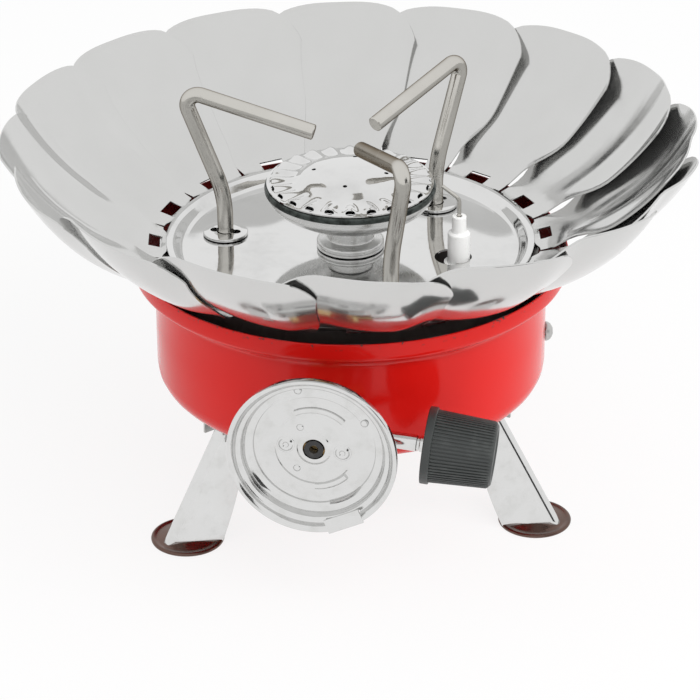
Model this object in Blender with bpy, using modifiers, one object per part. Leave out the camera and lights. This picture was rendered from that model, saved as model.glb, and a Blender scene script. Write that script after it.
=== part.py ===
"""Folding camping gas stove: red spun bowl, mirror plate, sixteen hinged windshield petals,
burner, three swivelling pot supports, spark ignition, canister connector and three folding legs.

Metres, +Z up. The origin is on the floor under the middle of the body. The front is -Y.
"""
import bmesh
import bpy
from math import asin, atan2, cos, hypot, pi, radians, sin, sqrt, tan
from mathutils import Matrix, Vector

# General
CLEARANCE = 0.0003          # gap between neighbouring pieces
OVERRUN = 0.002             # how far a cutter runs past the face it cuts
MERGE_DISTANCE = 0.00001
SHEET = 0.0008              # steel sheet of the body, drum and legs
THIN_SHEET = 0.0006         # polished sheet of the plate and petals
BODY_STEPS = 48
CORNER_STEPS = 3
SMALL_STEPS = 20
PIN_STEPS = 12

# Red body shell
BODY_RADIUS = 0.0625
BODY_BOTTOM_Z = 0.0385
BODY_HEIGHT = 0.0455
BODY_CORNER = 0.0080
COLLAR_SPREAD = 0.0067      # the mouth stands this far outside the wall
COLLAR_HEIGHT = 0.0055
COLLAR_SLOPE = 0.0045       # height of the collar's sloping underside
AIR_HOLE_RADIUS = 0.0255    # draught opening in the bottom

# Mirror plate
PLATE_BEND_WIDTH = 0.0025   # the bend between the flat and the raised edge
PLATE_EDGE_WIDTH = 0.0020
PLATE_EDGE_GAP = 0.0006     # the edge ends this far inside the hinge line
PLATE_STEP = 0.0034         # the outer edge stands this much above the flat

# Hinge ring of the windshield
PETAL_COUNT = 16
PETAL_PHASE = radians(2.06)
DRUM_INSET = 0.0053         # drum inside the body's wall
HINGE_OUT = 0.0019          # hinge line outside the drum
DRUM_SHELF_WIDTH = 0.0062
BEAD_RADIUS = 0.0008
HOOK_GAP = 0.00045
DRUM_FOOT_GAP = 0.0005
WEB_DROP = 0.0016           # the web leaves the drum this far below the bead

# Petals
PETAL_REACH = 0.0496        # hinge line to rim, in plan
PETAL_RISE = 0.0384
PETAL_ROOT_INSET = 0.0009   # root edge inside the hinge line
PETAL_SHOULDER = 0.0004     # the root's corners start outside it, clear of the round bead
PETAL_START_SLOPE = radians(14.0)
PETAL_FOOT_GAP = 0.0006      # between a petal's foot and the line it shares with its neighbour
PETAL_OVERLAP = 0.0042      # each edge passes that line by this much near the rim
PETAL_OVERLAP_START = 0.0300
PETAL_CORNER = 0.0140
PETAL_CUP_RADIUS = 0.0610
PETAL_CUP_START = 0.0160    # arc length over which the foot goes from flat to cupped
PETAL_TILT = radians(7.0)
PETAL_TILT_START = 0.0120
SLOT_WIDTH = 0.0080
SLOT_INNER = 0.0006         # outward from the hinge line
SLOT_LENGTH = 0.0045
HOOK_WIDTH = 0.0072
HOOK_SWEEP = radians(165.0)
HOOK_STEPS = 5
PETAL_ROW_SHARES = (0.20, 0.40, 0.62, 0.84, 1.00)
PETAL_SIDE_SHARES = (0.60, 0.88, 1.00)

# Burner, heights above the plate's flat
NECK_FLANGE_RADIUS = 0.0107
NECK_FLANGE_HEIGHT = 0.0028
NECK_RADIUS = 0.0073
NECK_HEIGHT = 0.0066
TUBE_RADIUS = 0.0064
TUBE_WALL = 0.0012
CUP_SHARE = 0.4907          # of the plate's flat
CUP_HEIGHT = 0.0198
PORT_RING_PAST = 0.0005     # outside the cup's rim
PORT_RING_HEIGHT = 0.0014
PORT_RING_WIDTH = 0.0045
CAP_SHEET = 0.0008
CAP_DOME_SHARE = 0.604      # of the cup's radius
CAP_DOME_RISE = 0.0039
CAP_SEAT_RISE = 0.0013
AIR_PORT_RADIUS = 0.0020
AIR_PORT_COUNT = 4
AIR_PORT_RISE = 0.0110      # above the tube's lower end

# Pot supports
SUPPORT_AZIMUTHS = (radians(167.4), radians(47.4), radians(-72.6))
SUPPORT_BASE_SHARE = 0.7593 # of the plate's flat
ROD_RADIUS = 0.0025
ROD_UPRIGHT = 0.0140        # straight stretch above the plate
ELBOW_LEAN = 0.0139         # outward from the base
ELBOW_HEIGHT = 0.0493
ELBOW_BEND = 0.0038
KNEE_BEND = 0.0200
ARM_END_RADIUS = 0.0115     # the arms end this far from the burner's axis
ARM_DROP = 0.0113           # the arm falls this much towards the middle
SUPPORT_TAIL = 0.0140       # below the plate's flat
CLIP_RADIUS = 0.0046
CLIP_HEIGHT = 0.0010
WASHER_RADIUS = 0.0072
WASHER_HEIGHT = 0.0012

# Spark electrode
ELECTRODE_AZIMUTH = radians(-12.69)
ELECTRODE_SHARE = 0.6492    # of the plate's flat
ELECTRODE_HOLE_AZIMUTH = radians(-15.20)
ELECTRODE_HOLE_SHARE = 0.6217
ELECTRODE_HOLE_RADIUS = 0.0059
CERAMIC_RADIUS = 0.0036
CERAMIC_HEIGHT = 0.0080
CERAMIC_TOP_RADIUS = 0.0023
CERAMIC_TOP_HEIGHT = 0.0138
CERAMIC_SHOULDER_RADIUS = 0.0047
CERAMIC_SHOULDER_HEIGHT = 0.0010
CERAMIC_TAIL = 0.0080
CERAMIC_BORE = 0.0009
SPARK_WIRE_RADIUS = 0.0006
SPARK_WIRE_RISE = 0.0058
SPARK_WIRE_REACH = 0.0056
SPARK_WIRE_SLOPE = 0.7      # climb of the tip per length inward
FORK_SHELF_GAP = 0.0029     # the fork ends this far inside the drum's shelf
FORK_WIDTH = 0.0120

# Piezo igniter
PIEZO_AZIMUTH = radians(40.0)
PIEZO_DROP = 0.0260         # axis below the plate's flat
PIEZO_RADIUS = 0.0050
PIEZO_LENGTH = 0.0260
BUTTON_RADIUS = 0.0040
BUTTON_STANDS = 0.0050      # outside the wall
BUTTON_TRAVEL = 0.0045
BUTTON_IN_POCKET = 0.0040
LEAD_RADIUS = 0.0011
LEAD_STEPS = 12

# Legs
LEG_AZIMUTHS = (radians(-142.5), radians(-27.0), radians(97.0))
LEG_INSET = 0.0130          # pivot inside the body's wall
LEG_PIVOT_DROP = 0.0045     # pivot below the body's bottom
LEG_RIDGE_WIDTH = 0.0026
LEG_TOP_RISE = 0.0018       # leg above its pivot
LEG_TOP_DEPTH = 0.0060
LEG_TOP_WIDTH = 0.0106
LEG_BOTTOM_WIDTH = 0.0180
LEG_SPREAD = 0.0220         # the ridge leans out by this much
LEG_FLARE_SHARES = (0.0, 0.30, 0.62, 1.0)
LEG_REACH_SHARE = 0.62      # flange's inner edge at the floor, in foot radii
FOOT_RADIUS = 0.0118
FOOT_OUT = 0.0165           # foot outside the pivot
FOOT_THICKNESS = 0.0010
LEG_PIN_RADIUS = 0.0015
BRACKET_LENGTH = 0.0086
BRACKET_EAR = 0.0064

# Side screws
SCREW_AZIMUTHS = (radians(0.0), radians(120.0), radians(-120.0))
SCREW_RISE = 0.0145         # above the body's bottom
SCREW_HEAD_RADIUS = 0.0032
SCREW_HEAD_HEIGHT = 0.0024
SCREW_SHANK_RADIUS = 0.0015
SCREW_SHANK_PAST = 0.0020

# Gas train: the regulator's own frame has +X along the stem, -Y out of the connector's face
REGULATOR_X = -0.01212
REGULATOR_STANDS = 0.02666  # rim plane in front of the body's wall
REGULATOR_RISE = 0.0181     # above the body's bottom
REGULATOR_TURN = radians(-9.0)
REGULATOR_DROOP = radians(5.5)
PIPE_RADIUS = 0.0025
PIPE_HANDLE = 0.0200        # how far each end of the pipe runs straight
PIPE_STEPS = 10
JET_BLOCK_RISE = 0.0059     # above the body's bottom
JET_BLOCK_RADIUS = 0.0070
JET_BLOCK_HEIGHT = 0.0067
JET_HEX_RADIUS = 0.0040
JET_HEX_HEIGHT = 0.0040
JET_NOSE_RADIUS = 0.0016
JET_NOSE_HEIGHT = 0.0040
CONNECTOR_RADIUS = 0.0258
CONNECTOR_SHEET = 0.0009
CONNECTOR_RIM = 0.0030      # depth of the rolled rim
CONNECTOR_WALL_RADIUS = 0.0226
CONNECTOR_RECESS = 0.0066   # rim plane to the middle of the face
CONNECTOR_STEP_RADIUS = 0.0125
CONNECTOR_BOSS_RADIUS = 0.0055
CONNECTOR_BOSS_RISE = 0.0012
CONNECTOR_BORE = 0.0033
NOTCH_WIDTH = 0.0110
NOTCH_DEPTH = 0.0064
NOTCH_ANGLE = radians(-60.0)
TAB_WIDTH = 0.0124
TAB_REACH = 0.0030
TAB_OUT = 0.0240            # middle of the flat tab from the axis
BACK_RADIUS = 0.0200
BACK_DEPTH = 0.0032
SEAL_BORE = 0.0014
SEAL_LENGTH = 0.0030
STEM_BEHIND = 0.0188        # stem axis behind the rim plane
STEM_RADIUS = 0.0025
STEM_START = 0.0040
VALVE_RADIUS = 0.0085
VALVE_BOSS_RADIUS = 0.0050
VALVE_BOSS_REACH = 0.0140
VALVE_BACK = 0.0042         # body behind the stem's axis, past the stem
VALVE_TAIL_RADIUS = 0.0035
VALVE_TAIL_PAST = 0.00604   # the tail ends this far past the drum's wall
DISC_STEPS = 24
KNOB_START = 0.0319
KNOB_LENGTH = 0.0213
KNOB_FLANGE_RADIUS = 0.0118
KNOB_FLANGE_LENGTH = 0.0026
KNOB_RADIUS = 0.0111
KNOB_END_RADIUS = 0.0101
KNOB_END_FILLET = 0.0012
KNOB_SOCKET = 0.0080

# Sizes that follow from those above
LIP_RADIUS = BODY_RADIUS + COLLAR_SPREAD
LIP_TOP_Z = BODY_BOTTOM_Z + BODY_HEIGHT
CREASE_Z = LIP_TOP_Z - COLLAR_HEIGHT
COLLAR_FOOT_Z = CREASE_Z - COLLAR_SLOPE
DRUM_RADIUS = BODY_RADIUS - DRUM_INSET
DRUM_SHELF_RADIUS = DRUM_RADIUS - DRUM_SHELF_WIDTH
HINGE_RADIUS = DRUM_RADIUS + HINGE_OUT
PLATE_TOP_Z = LIP_TOP_Z
PLATE_RADIUS = HINGE_RADIUS - PLATE_EDGE_GAP
PLATE_SHOULDER_RADIUS = PLATE_RADIUS - PLATE_EDGE_WIDTH
PLATE_FLAT_RADIUS = PLATE_SHOULDER_RADIUS - PLATE_BEND_WIDTH
CUP_RADIUS = PLATE_FLAT_RADIUS * CUP_SHARE
PORT_RING_RADIUS = CUP_RADIUS + PORT_RING_PAST
CAP_RADIUS = CUP_RADIUS
CAP_DOME_RADIUS = CUP_RADIUS * CAP_DOME_SHARE
SUPPORT_BASE_RADIUS = PLATE_FLAT_RADIUS * SUPPORT_BASE_SHARE
ARM_REACH = SUPPORT_BASE_RADIUS - ARM_END_RADIUS
ELECTRODE_X = PLATE_FLAT_RADIUS * ELECTRODE_SHARE * cos(ELECTRODE_AZIMUTH)
ELECTRODE_Y = PLATE_FLAT_RADIUS * ELECTRODE_SHARE * sin(ELECTRODE_AZIMUTH)
ELECTRODE_HOLE_X = PLATE_FLAT_RADIUS * ELECTRODE_HOLE_SHARE * cos(ELECTRODE_HOLE_AZIMUTH)
ELECTRODE_HOLE_Y = PLATE_FLAT_RADIUS * ELECTRODE_HOLE_SHARE * sin(ELECTRODE_HOLE_AZIMUTH)
FORK_LENGTH = DRUM_SHELF_RADIUS - FORK_SHELF_GAP - PLATE_FLAT_RADIUS * ELECTRODE_SHARE
PIEZO_Z = PLATE_TOP_Z - PIEZO_DROP
SCREW_Z = BODY_BOTTOM_Z + SCREW_RISE
LEG_PIVOT_RADIUS = BODY_RADIUS - LEG_INSET
FOOT_CENTRE = LEG_PIVOT_RADIUS + FOOT_OUT
REGULATOR_Y = -BODY_RADIUS - REGULATOR_STANDS
REGULATOR_Z = BODY_BOTTOM_Z + REGULATOR_RISE
VALVE_TAIL_END = REGULATOR_STANDS + DRUM_INSET + VALVE_TAIL_PAST
JET_BLOCK_Z = BODY_BOTTOM_Z + JET_BLOCK_RISE
PLATE_UNDER_Z = PLATE_TOP_Z - THIN_SHEET
PETAL_MID_Z = PLATE_TOP_Z + PLATE_STEP - THIN_SHEET - CLEARANCE - THIN_SHEET / 2
HOOK_RADIUS = BEAD_RADIUS + HOOK_GAP + THIN_SHEET / 2
HINGE_Z = PETAL_MID_Z - HOOK_RADIUS
FLOOR_INSIDE_Z = BODY_BOTTOM_Z + SHEET
WALL_INSIDE = BODY_RADIUS - SHEET
LEG_PIVOT_Z = BODY_BOTTOM_Z - LEG_PIVOT_DROP
PETAL_RIM_RADIUS = HINGE_RADIUS + PETAL_REACH
PETAL_RIM_Z = PETAL_MID_Z + PETAL_RISE


def empty_scene():
    for item in list(bpy.data.objects):
        bpy.data.objects.remove(item, do_unlink=True)


def new_collection(name):
    group = bpy.data.collections.new(name)
    bpy.context.scene.collection.children.link(group)
    return group


def finish(name, colour, metallic, roughness):
    material = bpy.data.materials.new(name)
    material.use_nodes = True
    shader = material.node_tree.nodes["Principled BSDF"]
    shader.inputs["Base Color"].default_value = (*colour, 1.0)
    shader.inputs["Metallic"].default_value = metallic
    shader.inputs["Roughness"].default_value = roughness
    return material


def add_object(name, mesh, material, group, placed=None):
    piece = bpy.data.objects.new(name, mesh)
    group.objects.link(piece)
    if material:
        mesh.materials.clear()
        mesh.materials.append(material)
    if placed is not None:
        piece.matrix_world = placed
    return piece


def smooth(mesh):
    mesh.shade_smooth()
    mesh.set_sharp_from_angle(angle=radians(35.0))


def turned(name, profile, material, group, steps, closed=True, placed=None):
    """Spin (radius, height) points round Z; the outer side runs from top to bottom."""
    mesh = bpy.data.meshes.new(name)
    points = [(radius, 0.0, height) for radius, height in profile]
    edges = [(i, i + 1) for i in range(len(points) - 1)]
    if closed:
        edges.append((len(points) - 1, 0))
    mesh.from_pydata(points, edges, [])
    piece = add_object(name, mesh, material, group, placed)
    spin = piece.modifiers.new("Spin", "SCREW")
    spin.axis = "Z"
    spin.angle = 2 * pi
    spin.steps = steps
    spin.render_steps = steps
    spin.use_merge_vertices = True
    spin.merge_threshold = MERGE_DISTANCE
    spin.use_smooth_shade = True
    return piece


def make_cutter(piece):
    piece.hide_render = True
    piece.display_type = "WIRE"
    return piece


def cylinder_cutter(name, radius, start, end, group, steps=PIN_STEPS):
    """A round cutter between two points."""
    start, end = Vector(start), Vector(end)
    mesh = bpy.data.meshes.new(name)
    shape = bmesh.new()
    length = (end - start).length
    bmesh.ops.create_cone(shape, cap_ends=True, segments=steps, radius1=radius, radius2=radius, depth=length)
    shape.to_mesh(mesh)
    shape.free()
    turn = (end - start).to_track_quat("Z", "Y").to_matrix().to_4x4()
    piece = add_object(name, mesh, None, group, Matrix.Translation((start + end) / 2) @ turn)
    return make_cutter(piece)


def box_mesh(name, size):
    mesh = bpy.data.meshes.new(name)
    shape = bmesh.new()
    bmesh.ops.create_cube(shape, size=1.0)
    bmesh.ops.scale(shape, vec=size, verts=shape.verts)
    shape.to_mesh(mesh)
    shape.free()
    return mesh


def box_cutter(name, size, placed, group):
    return make_cutter(add_object(name, box_mesh(name, size), None, group, placed))


def cut(piece, cutter, operation="DIFFERENCE"):
    modifier = piece.modifiers.new("Cut", "BOOLEAN")
    modifier.operation = operation
    modifier.solver = "EXACT"
    modifier.object = cutter


def tube(name, points, radius, material, group, resolution=2, placed=None):
    """A round bar along a list of points, as a welded mesh."""
    curve = bpy.data.curves.new(name, "CURVE")
    curve.dimensions = "3D"
    curve.bevel_depth = radius
    curve.bevel_resolution = resolution
    curve.use_fill_caps = True
    spline = curve.splines.new("POLY")
    spline.points.add(len(points) - 1)
    for point, place in zip(spline.points, points):
        point.co = (*place, 1.0)
    guide = bpy.data.objects.new(name + "_guide", curve)
    group.objects.link(guide)
    if placed is not None:
        guide.matrix_world = placed
    bpy.context.view_layer.update()
    mesh = bpy.data.meshes.new_from_object(guide.evaluated_get(bpy.context.evaluated_depsgraph_get()))
    matrix = guide.matrix_world.copy()
    bpy.data.objects.remove(guide, do_unlink=True)
    bpy.data.curves.remove(curve)
    shape = bmesh.new()
    shape.from_mesh(mesh)
    bmesh.ops.remove_doubles(shape, verts=shape.verts, dist=MERGE_DISTANCE)
    bmesh.ops.recalc_face_normals(shape, faces=shape.faces)
    shape.to_mesh(mesh)
    shape.free()
    mesh.name = name
    smooth(mesh)
    return add_object(name, mesh, material, group, matrix)


def arc(centre, radius, start, end, steps):
    """Points of a circular arc in a plane, both ends included."""
    angles = [start + (end - start) * i / steps for i in range(steps + 1)]
    return [(centre[0] + radius * cos(angle), centre[1] + radius * sin(angle)) for angle in angles]


def rounded_bend(corner, before, after, radius, steps):
    """Replace a corner by an arc that touches both straight stretches."""
    into = (Vector(before) - Vector(corner)).normalized()
    out = (Vector(after) - Vector(corner)).normalized()
    half = into.angle(out) / 2
    middle = Vector(corner) + (into + out).normalized() * (radius / sin(half))
    first = Vector(corner) + into * (radius / tan(half))
    last = Vector(corner) + out * (radius / tan(half))
    start = first - middle
    sweep = start.angle(last - middle)
    axis = start.cross(last - middle).normalized()
    return [middle + Matrix.Rotation(sweep * i / steps, 3, axis) @ start for i in range(steps + 1)]


def radial(azimuth, radius, height=0.0):
    return Vector((radius * cos(azimuth), radius * sin(azimuth), height))


def about_z(azimuth, place=Vector()):
    return Matrix.Translation(place) @ Matrix.Rotation(azimuth, 4, "Z")


def body_shell(group, cutters, paint):
    """Spun bowl with a widened mouth and a round draught opening."""
    corner = (BODY_RADIUS - BODY_CORNER, BODY_BOTTOM_Z + BODY_CORNER)
    outside = [(LIP_RADIUS, LIP_TOP_Z), (LIP_RADIUS, CREASE_Z), (BODY_RADIUS, COLLAR_FOOT_Z)]
    outside += arc(corner, BODY_CORNER, 0.0, -pi / 2, CORNER_STEPS)
    outside.append((AIR_HOLE_RADIUS, BODY_BOTTOM_Z))
    inside = [(AIR_HOLE_RADIUS, FLOOR_INSIDE_Z)]
    inside += arc(corner, BODY_CORNER - SHEET, -pi / 2, 0.0, CORNER_STEPS)
    inside += [(WALL_INSIDE, COLLAR_FOOT_Z + SHEET / 2), (LIP_RADIUS - SHEET, CREASE_Z + SHEET / 2),
               (LIP_RADIUS - SHEET, LIP_TOP_Z)]
    shell = turned("body_shell", outside + inside, paint, group, BODY_STEPS)
    cut(shell, gas_line_cutter("shell_gas_hole", VALVE_TAIL_RADIUS + CLEARANCE, cutters))
    wall_hole(shell, "shell_button_hole", PIEZO_AZIMUTH, PIEZO_Z, BUTTON_RADIUS + CLEARANCE, cutters)
    for number, azimuth in enumerate(SCREW_AZIMUTHS, 1):
        wall_hole(shell, f"shell_screw_hole_{number}", azimuth, SCREW_Z, SCREW_SHANK_RADIUS + CLEARANCE, cutters)
    return shell


def wall_hole(piece, name, azimuth, height, radius, cutters):
    """A round hole through the body's wall, or through the drum's wall inside it."""
    outer = BODY_RADIUS + OVERRUN if piece.name == "body_shell" else (DRUM_RADIUS + WALL_INSIDE) / 2
    inner = (DRUM_RADIUS + WALL_INSIDE) / 2 if piece.name == "body_shell" else DRUM_RADIUS - SHEET - OVERRUN
    cutter = cylinder_cutter(name, radius, radial(azimuth, inner, height), radial(azimuth, outer, height), cutters)
    cut(piece, cutter)


def regulator_frame():
    """Middle of the connector's rim plane; +X along the stem, -Y out of the face."""
    centre = Vector((REGULATOR_X, REGULATOR_Y, REGULATOR_Z))
    return about_z(REGULATOR_TURN, centre) @ Matrix.Rotation(REGULATOR_DROOP, 4, "Y")


def gas_line_cutter(name, radius, cutters):
    """A hole along the connector's axis through both walls."""
    frame = regulator_frame()
    start = frame @ Vector((0.0, VALVE_TAIL_END - DRUM_INSET - VALVE_TAIL_PAST - OVERRUN * 2, 0.0))
    end = frame @ Vector((0.0, VALVE_TAIL_END + OVERRUN, 0.0))
    return cylinder_cutter(name, radius, start, end, cutters)


def hinge_drum(group, cutters, steel):
    """Inner drum that stands on the body's floor, carries the plate and ends in the hinge bead."""
    inner = DRUM_RADIUS - SHEET
    corner_inside = BODY_CORNER - SHEET
    past_corner = DRUM_RADIUS - (BODY_RADIUS - BODY_CORNER)
    foot_z = BODY_BOTTOM_Z + BODY_CORNER - sqrt(corner_inside ** 2 - past_corner ** 2) + DRUM_FOOT_GAP
    shelf_z = PLATE_UNDER_Z - CLEARANCE
    web_slope = atan2(WEB_DROP, HINGE_RADIUS - DRUM_RADIUS)
    half = asin(SHEET / 2 / BEAD_RADIUS)
    bead = arc((HINGE_RADIUS, HINGE_Z), BEAD_RADIUS, pi + web_slope - half, -pi + web_slope + half, 5)
    drop = SHEET / 2 / cos(web_slope)
    web_z = HINGE_Z - WEB_DROP
    profile = bead + [(DRUM_RADIUS, web_z - drop), (DRUM_RADIUS, foot_z), (inner, foot_z), (inner, shelf_z - SHEET),
                      (DRUM_SHELF_RADIUS, shelf_z - SHEET), (DRUM_SHELF_RADIUS, shelf_z), (inner, shelf_z)]
    drum = turned("hinge_drum", profile, steel, group, BODY_STEPS, placed=about_z(PETAL_PHASE))
    cut(drum, gas_line_cutter("drum_gas_hole", VALVE_TAIL_RADIUS + CLEARANCE, cutters))
    wall_hole(drum, "drum_button_hole", PIEZO_AZIMUTH, PIEZO_Z, BUTTON_RADIUS + CLEARANCE, cutters)
    for number, azimuth in enumerate(SCREW_AZIMUTHS, 1):
        wall_hole(drum, f"drum_screw_hole_{number}", azimuth, SCREW_Z, SCREW_SHANK_RADIUS + CLEARANCE, cutters)
    return drum


def top_plate(group, cutters, mirror):
    """Polished plate with a raised edge; the burner, supports and electrode come through it."""
    edge_z = PLATE_TOP_Z + PLATE_STEP
    bore = TUBE_RADIUS + CLEARANCE
    profile = [(PLATE_RADIUS, edge_z), (PLATE_RADIUS, edge_z - THIN_SHEET),
               (PLATE_SHOULDER_RADIUS + THIN_SHEET / 2, edge_z - THIN_SHEET),
               (PLATE_FLAT_RADIUS + THIN_SHEET / 2, PLATE_UNDER_Z), (bore, PLATE_UNDER_Z), (bore, PLATE_TOP_Z),
               (PLATE_FLAT_RADIUS - THIN_SHEET / 2, PLATE_TOP_Z), (PLATE_SHOULDER_RADIUS - THIN_SHEET / 2, edge_z)]
    plate = turned("top_plate", profile, mirror, group, BODY_STEPS, placed=about_z(PETAL_PHASE))
    low, high = PLATE_UNDER_Z - OVERRUN, PLATE_TOP_Z + OVERRUN
    for number, azimuth in enumerate(SUPPORT_AZIMUTHS, 1):
        base = radial(azimuth, SUPPORT_BASE_RADIUS)
        cut(plate, cylinder_cutter(f"plate_support_hole_{number}", ROD_RADIUS + CLEARANCE,
                                   (base.x, base.y, low), (base.x, base.y, high), cutters))
    cut(plate, cylinder_cutter("plate_electrode_hole", ELECTRODE_HOLE_RADIUS,
                               (ELECTRODE_HOLE_X, ELECTRODE_HOLE_Y, low),
                               (ELECTRODE_HOLE_X, ELECTRODE_HOLE_Y, high), cutters, SMALL_STEPS))
    return plate


def petal_profile():
    """The petal's middle line as an arc: its radius, start angle and total turn."""
    start = (HINGE_RADIUS + SLOT_INNER, PETAL_MID_Z)
    rise = PETAL_RIM_Z - start[1]
    run = PETAL_RIM_RADIUS - start[0]
    chord_slope = atan2(rise, run)
    turn = 2 * (chord_slope - PETAL_START_SLOPE)
    radius = hypot(rise, run) / (2 * sin(turn / 2))
    return start, radius, turn


def ramp(value):
    """Smooth step from 0 to 1."""
    value = min(max(value, 0.0), 1.0)
    return value * value * (3 - 2 * value)


def petal_half_width(along):
    """Half the petal's width: up to the line between two petals, then an overlap past it."""
    start, radius, _ = petal_profile()
    slope = PETAL_START_SLOPE + max(along, 0.0) / radius
    out = start[0] + radius * (sin(slope) - sin(PETAL_START_SLOPE))
    overlap = (PETAL_OVERLAP + PETAL_FOOT_GAP) * ramp(along / PETAL_OVERLAP_START) - PETAL_FOOT_GAP
    return out * tan(pi / PETAL_COUNT) + overlap


def petal_point(along, side):
    """A point of the petal's middle surface in its own frame: X outward, Y sideways, Z up.

    along is the distance from the slot's inner edge, negative on the root.
    """
    start, radius, turn = petal_profile()
    past = abs(side) - (petal_half_width(along) - PETAL_CORNER)
    if past > 0:
        corner = PETAL_CORNER - sqrt(PETAL_CORNER ** 2 - min(past, PETAL_CORNER) ** 2)
        along -= corner * max(along / (radius * turn), 0.0) ** 3
    slope = 0.0
    x, z = start[0] + along, start[1]
    if along > 0:
        slope = PETAL_START_SLOPE + along / radius
        x = start[0] + radius * (sin(slope) - sin(PETAL_START_SLOPE))
        z = start[1] + radius * (cos(PETAL_START_SLOPE) - cos(slope))
    cup = ramp(along / PETAL_CUP_START)
    tilt = PETAL_TILT * ramp(along / PETAL_TILT_START)
    lift = cup * side ** 2 / (2 * PETAL_CUP_RADIUS) - side * tan(tilt)
    return Vector((x - sin(slope) * lift, side, z + cos(slope) * lift))


def petal_sides(along):
    """Where the grid's columns lie: the slot's edges, then shares of the half width."""
    half = petal_half_width(along)
    outward = [share * half for share in PETAL_SIDE_SHARES]
    return [-side for side in reversed(outward)] + [-SLOT_WIDTH / 2, SLOT_WIDTH / 2] + outward


def petal_mesh():
    """One petal: a grid laid on the formula, with a slot and a curled hook at its root."""
    _, radius, turn = petal_profile()
    alongs = [0.0, SLOT_LENGTH] + [share * radius * turn for share in PETAL_ROW_SHARES]
    columns = 2 * len(PETAL_SIDE_SHARES) + 2
    slot = len(PETAL_SIDE_SHARES)
    inset = [-PETAL_ROOT_INSET] * columns
    inset[0] = inset[-1] = PETAL_SHOULDER
    inset[1] = inset[-2] = PETAL_SHOULDER / 2
    shape = bmesh.new()
    root = [petal_point(out - SLOT_INNER, side) for out, side in zip(inset, petal_sides(0.0))]
    rows = [[shape.verts.new(place) for place in root]]
    rows += [[shape.verts.new(petal_point(along, side)) for side in petal_sides(along)] for along in alongs]
    for upper, lower in zip(rows[1:], rows[:-1]):
        for i in range(columns - 1):
            if lower is not rows[1] or i != slot:
                shape.faces.new((lower[i], upper[i], upper[i + 1], lower[i + 1]))
    previous = rows[1][slot:slot + 2]
    start_angle = pi / 2 - asin(SLOT_INNER / HOOK_RADIUS)
    for step in range(1, HOOK_STEPS + 1):
        angle = start_angle - HOOK_SWEEP * step / HOOK_STEPS
        x = HINGE_RADIUS + HOOK_RADIUS * cos(angle)
        z = HINGE_Z + HOOK_RADIUS * sin(angle)
        current = [shape.verts.new((x, side, z)) for side in (-HOOK_WIDTH / 2, HOOK_WIDTH / 2)]
        shape.faces.new((previous[0], current[0], current[1], previous[1]))
        previous = current
    mesh = bpy.data.meshes.new("petal")
    shape.to_mesh(mesh)
    shape.free()
    mesh.shade_smooth()
    return mesh


def petals(group, mirror):
    mesh = petal_mesh()
    for number in range(PETAL_COUNT):
        azimuth = PETAL_PHASE + 2 * pi * number / PETAL_COUNT
        hinge = radial(azimuth, HINGE_RADIUS, HINGE_Z)
        local = mesh.copy()
        local.transform(Matrix.Translation((-HINGE_RADIUS, 0.0, -HINGE_Z)))
        petal = add_object(f"petal_{number + 1:02d}", local, mirror, group, about_z(azimuth, hinge))
        wall = petal.modifiers.new("Sheet", "SOLIDIFY")
        wall.thickness = THIN_SHEET
        wall.offset = 0.0


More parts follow.
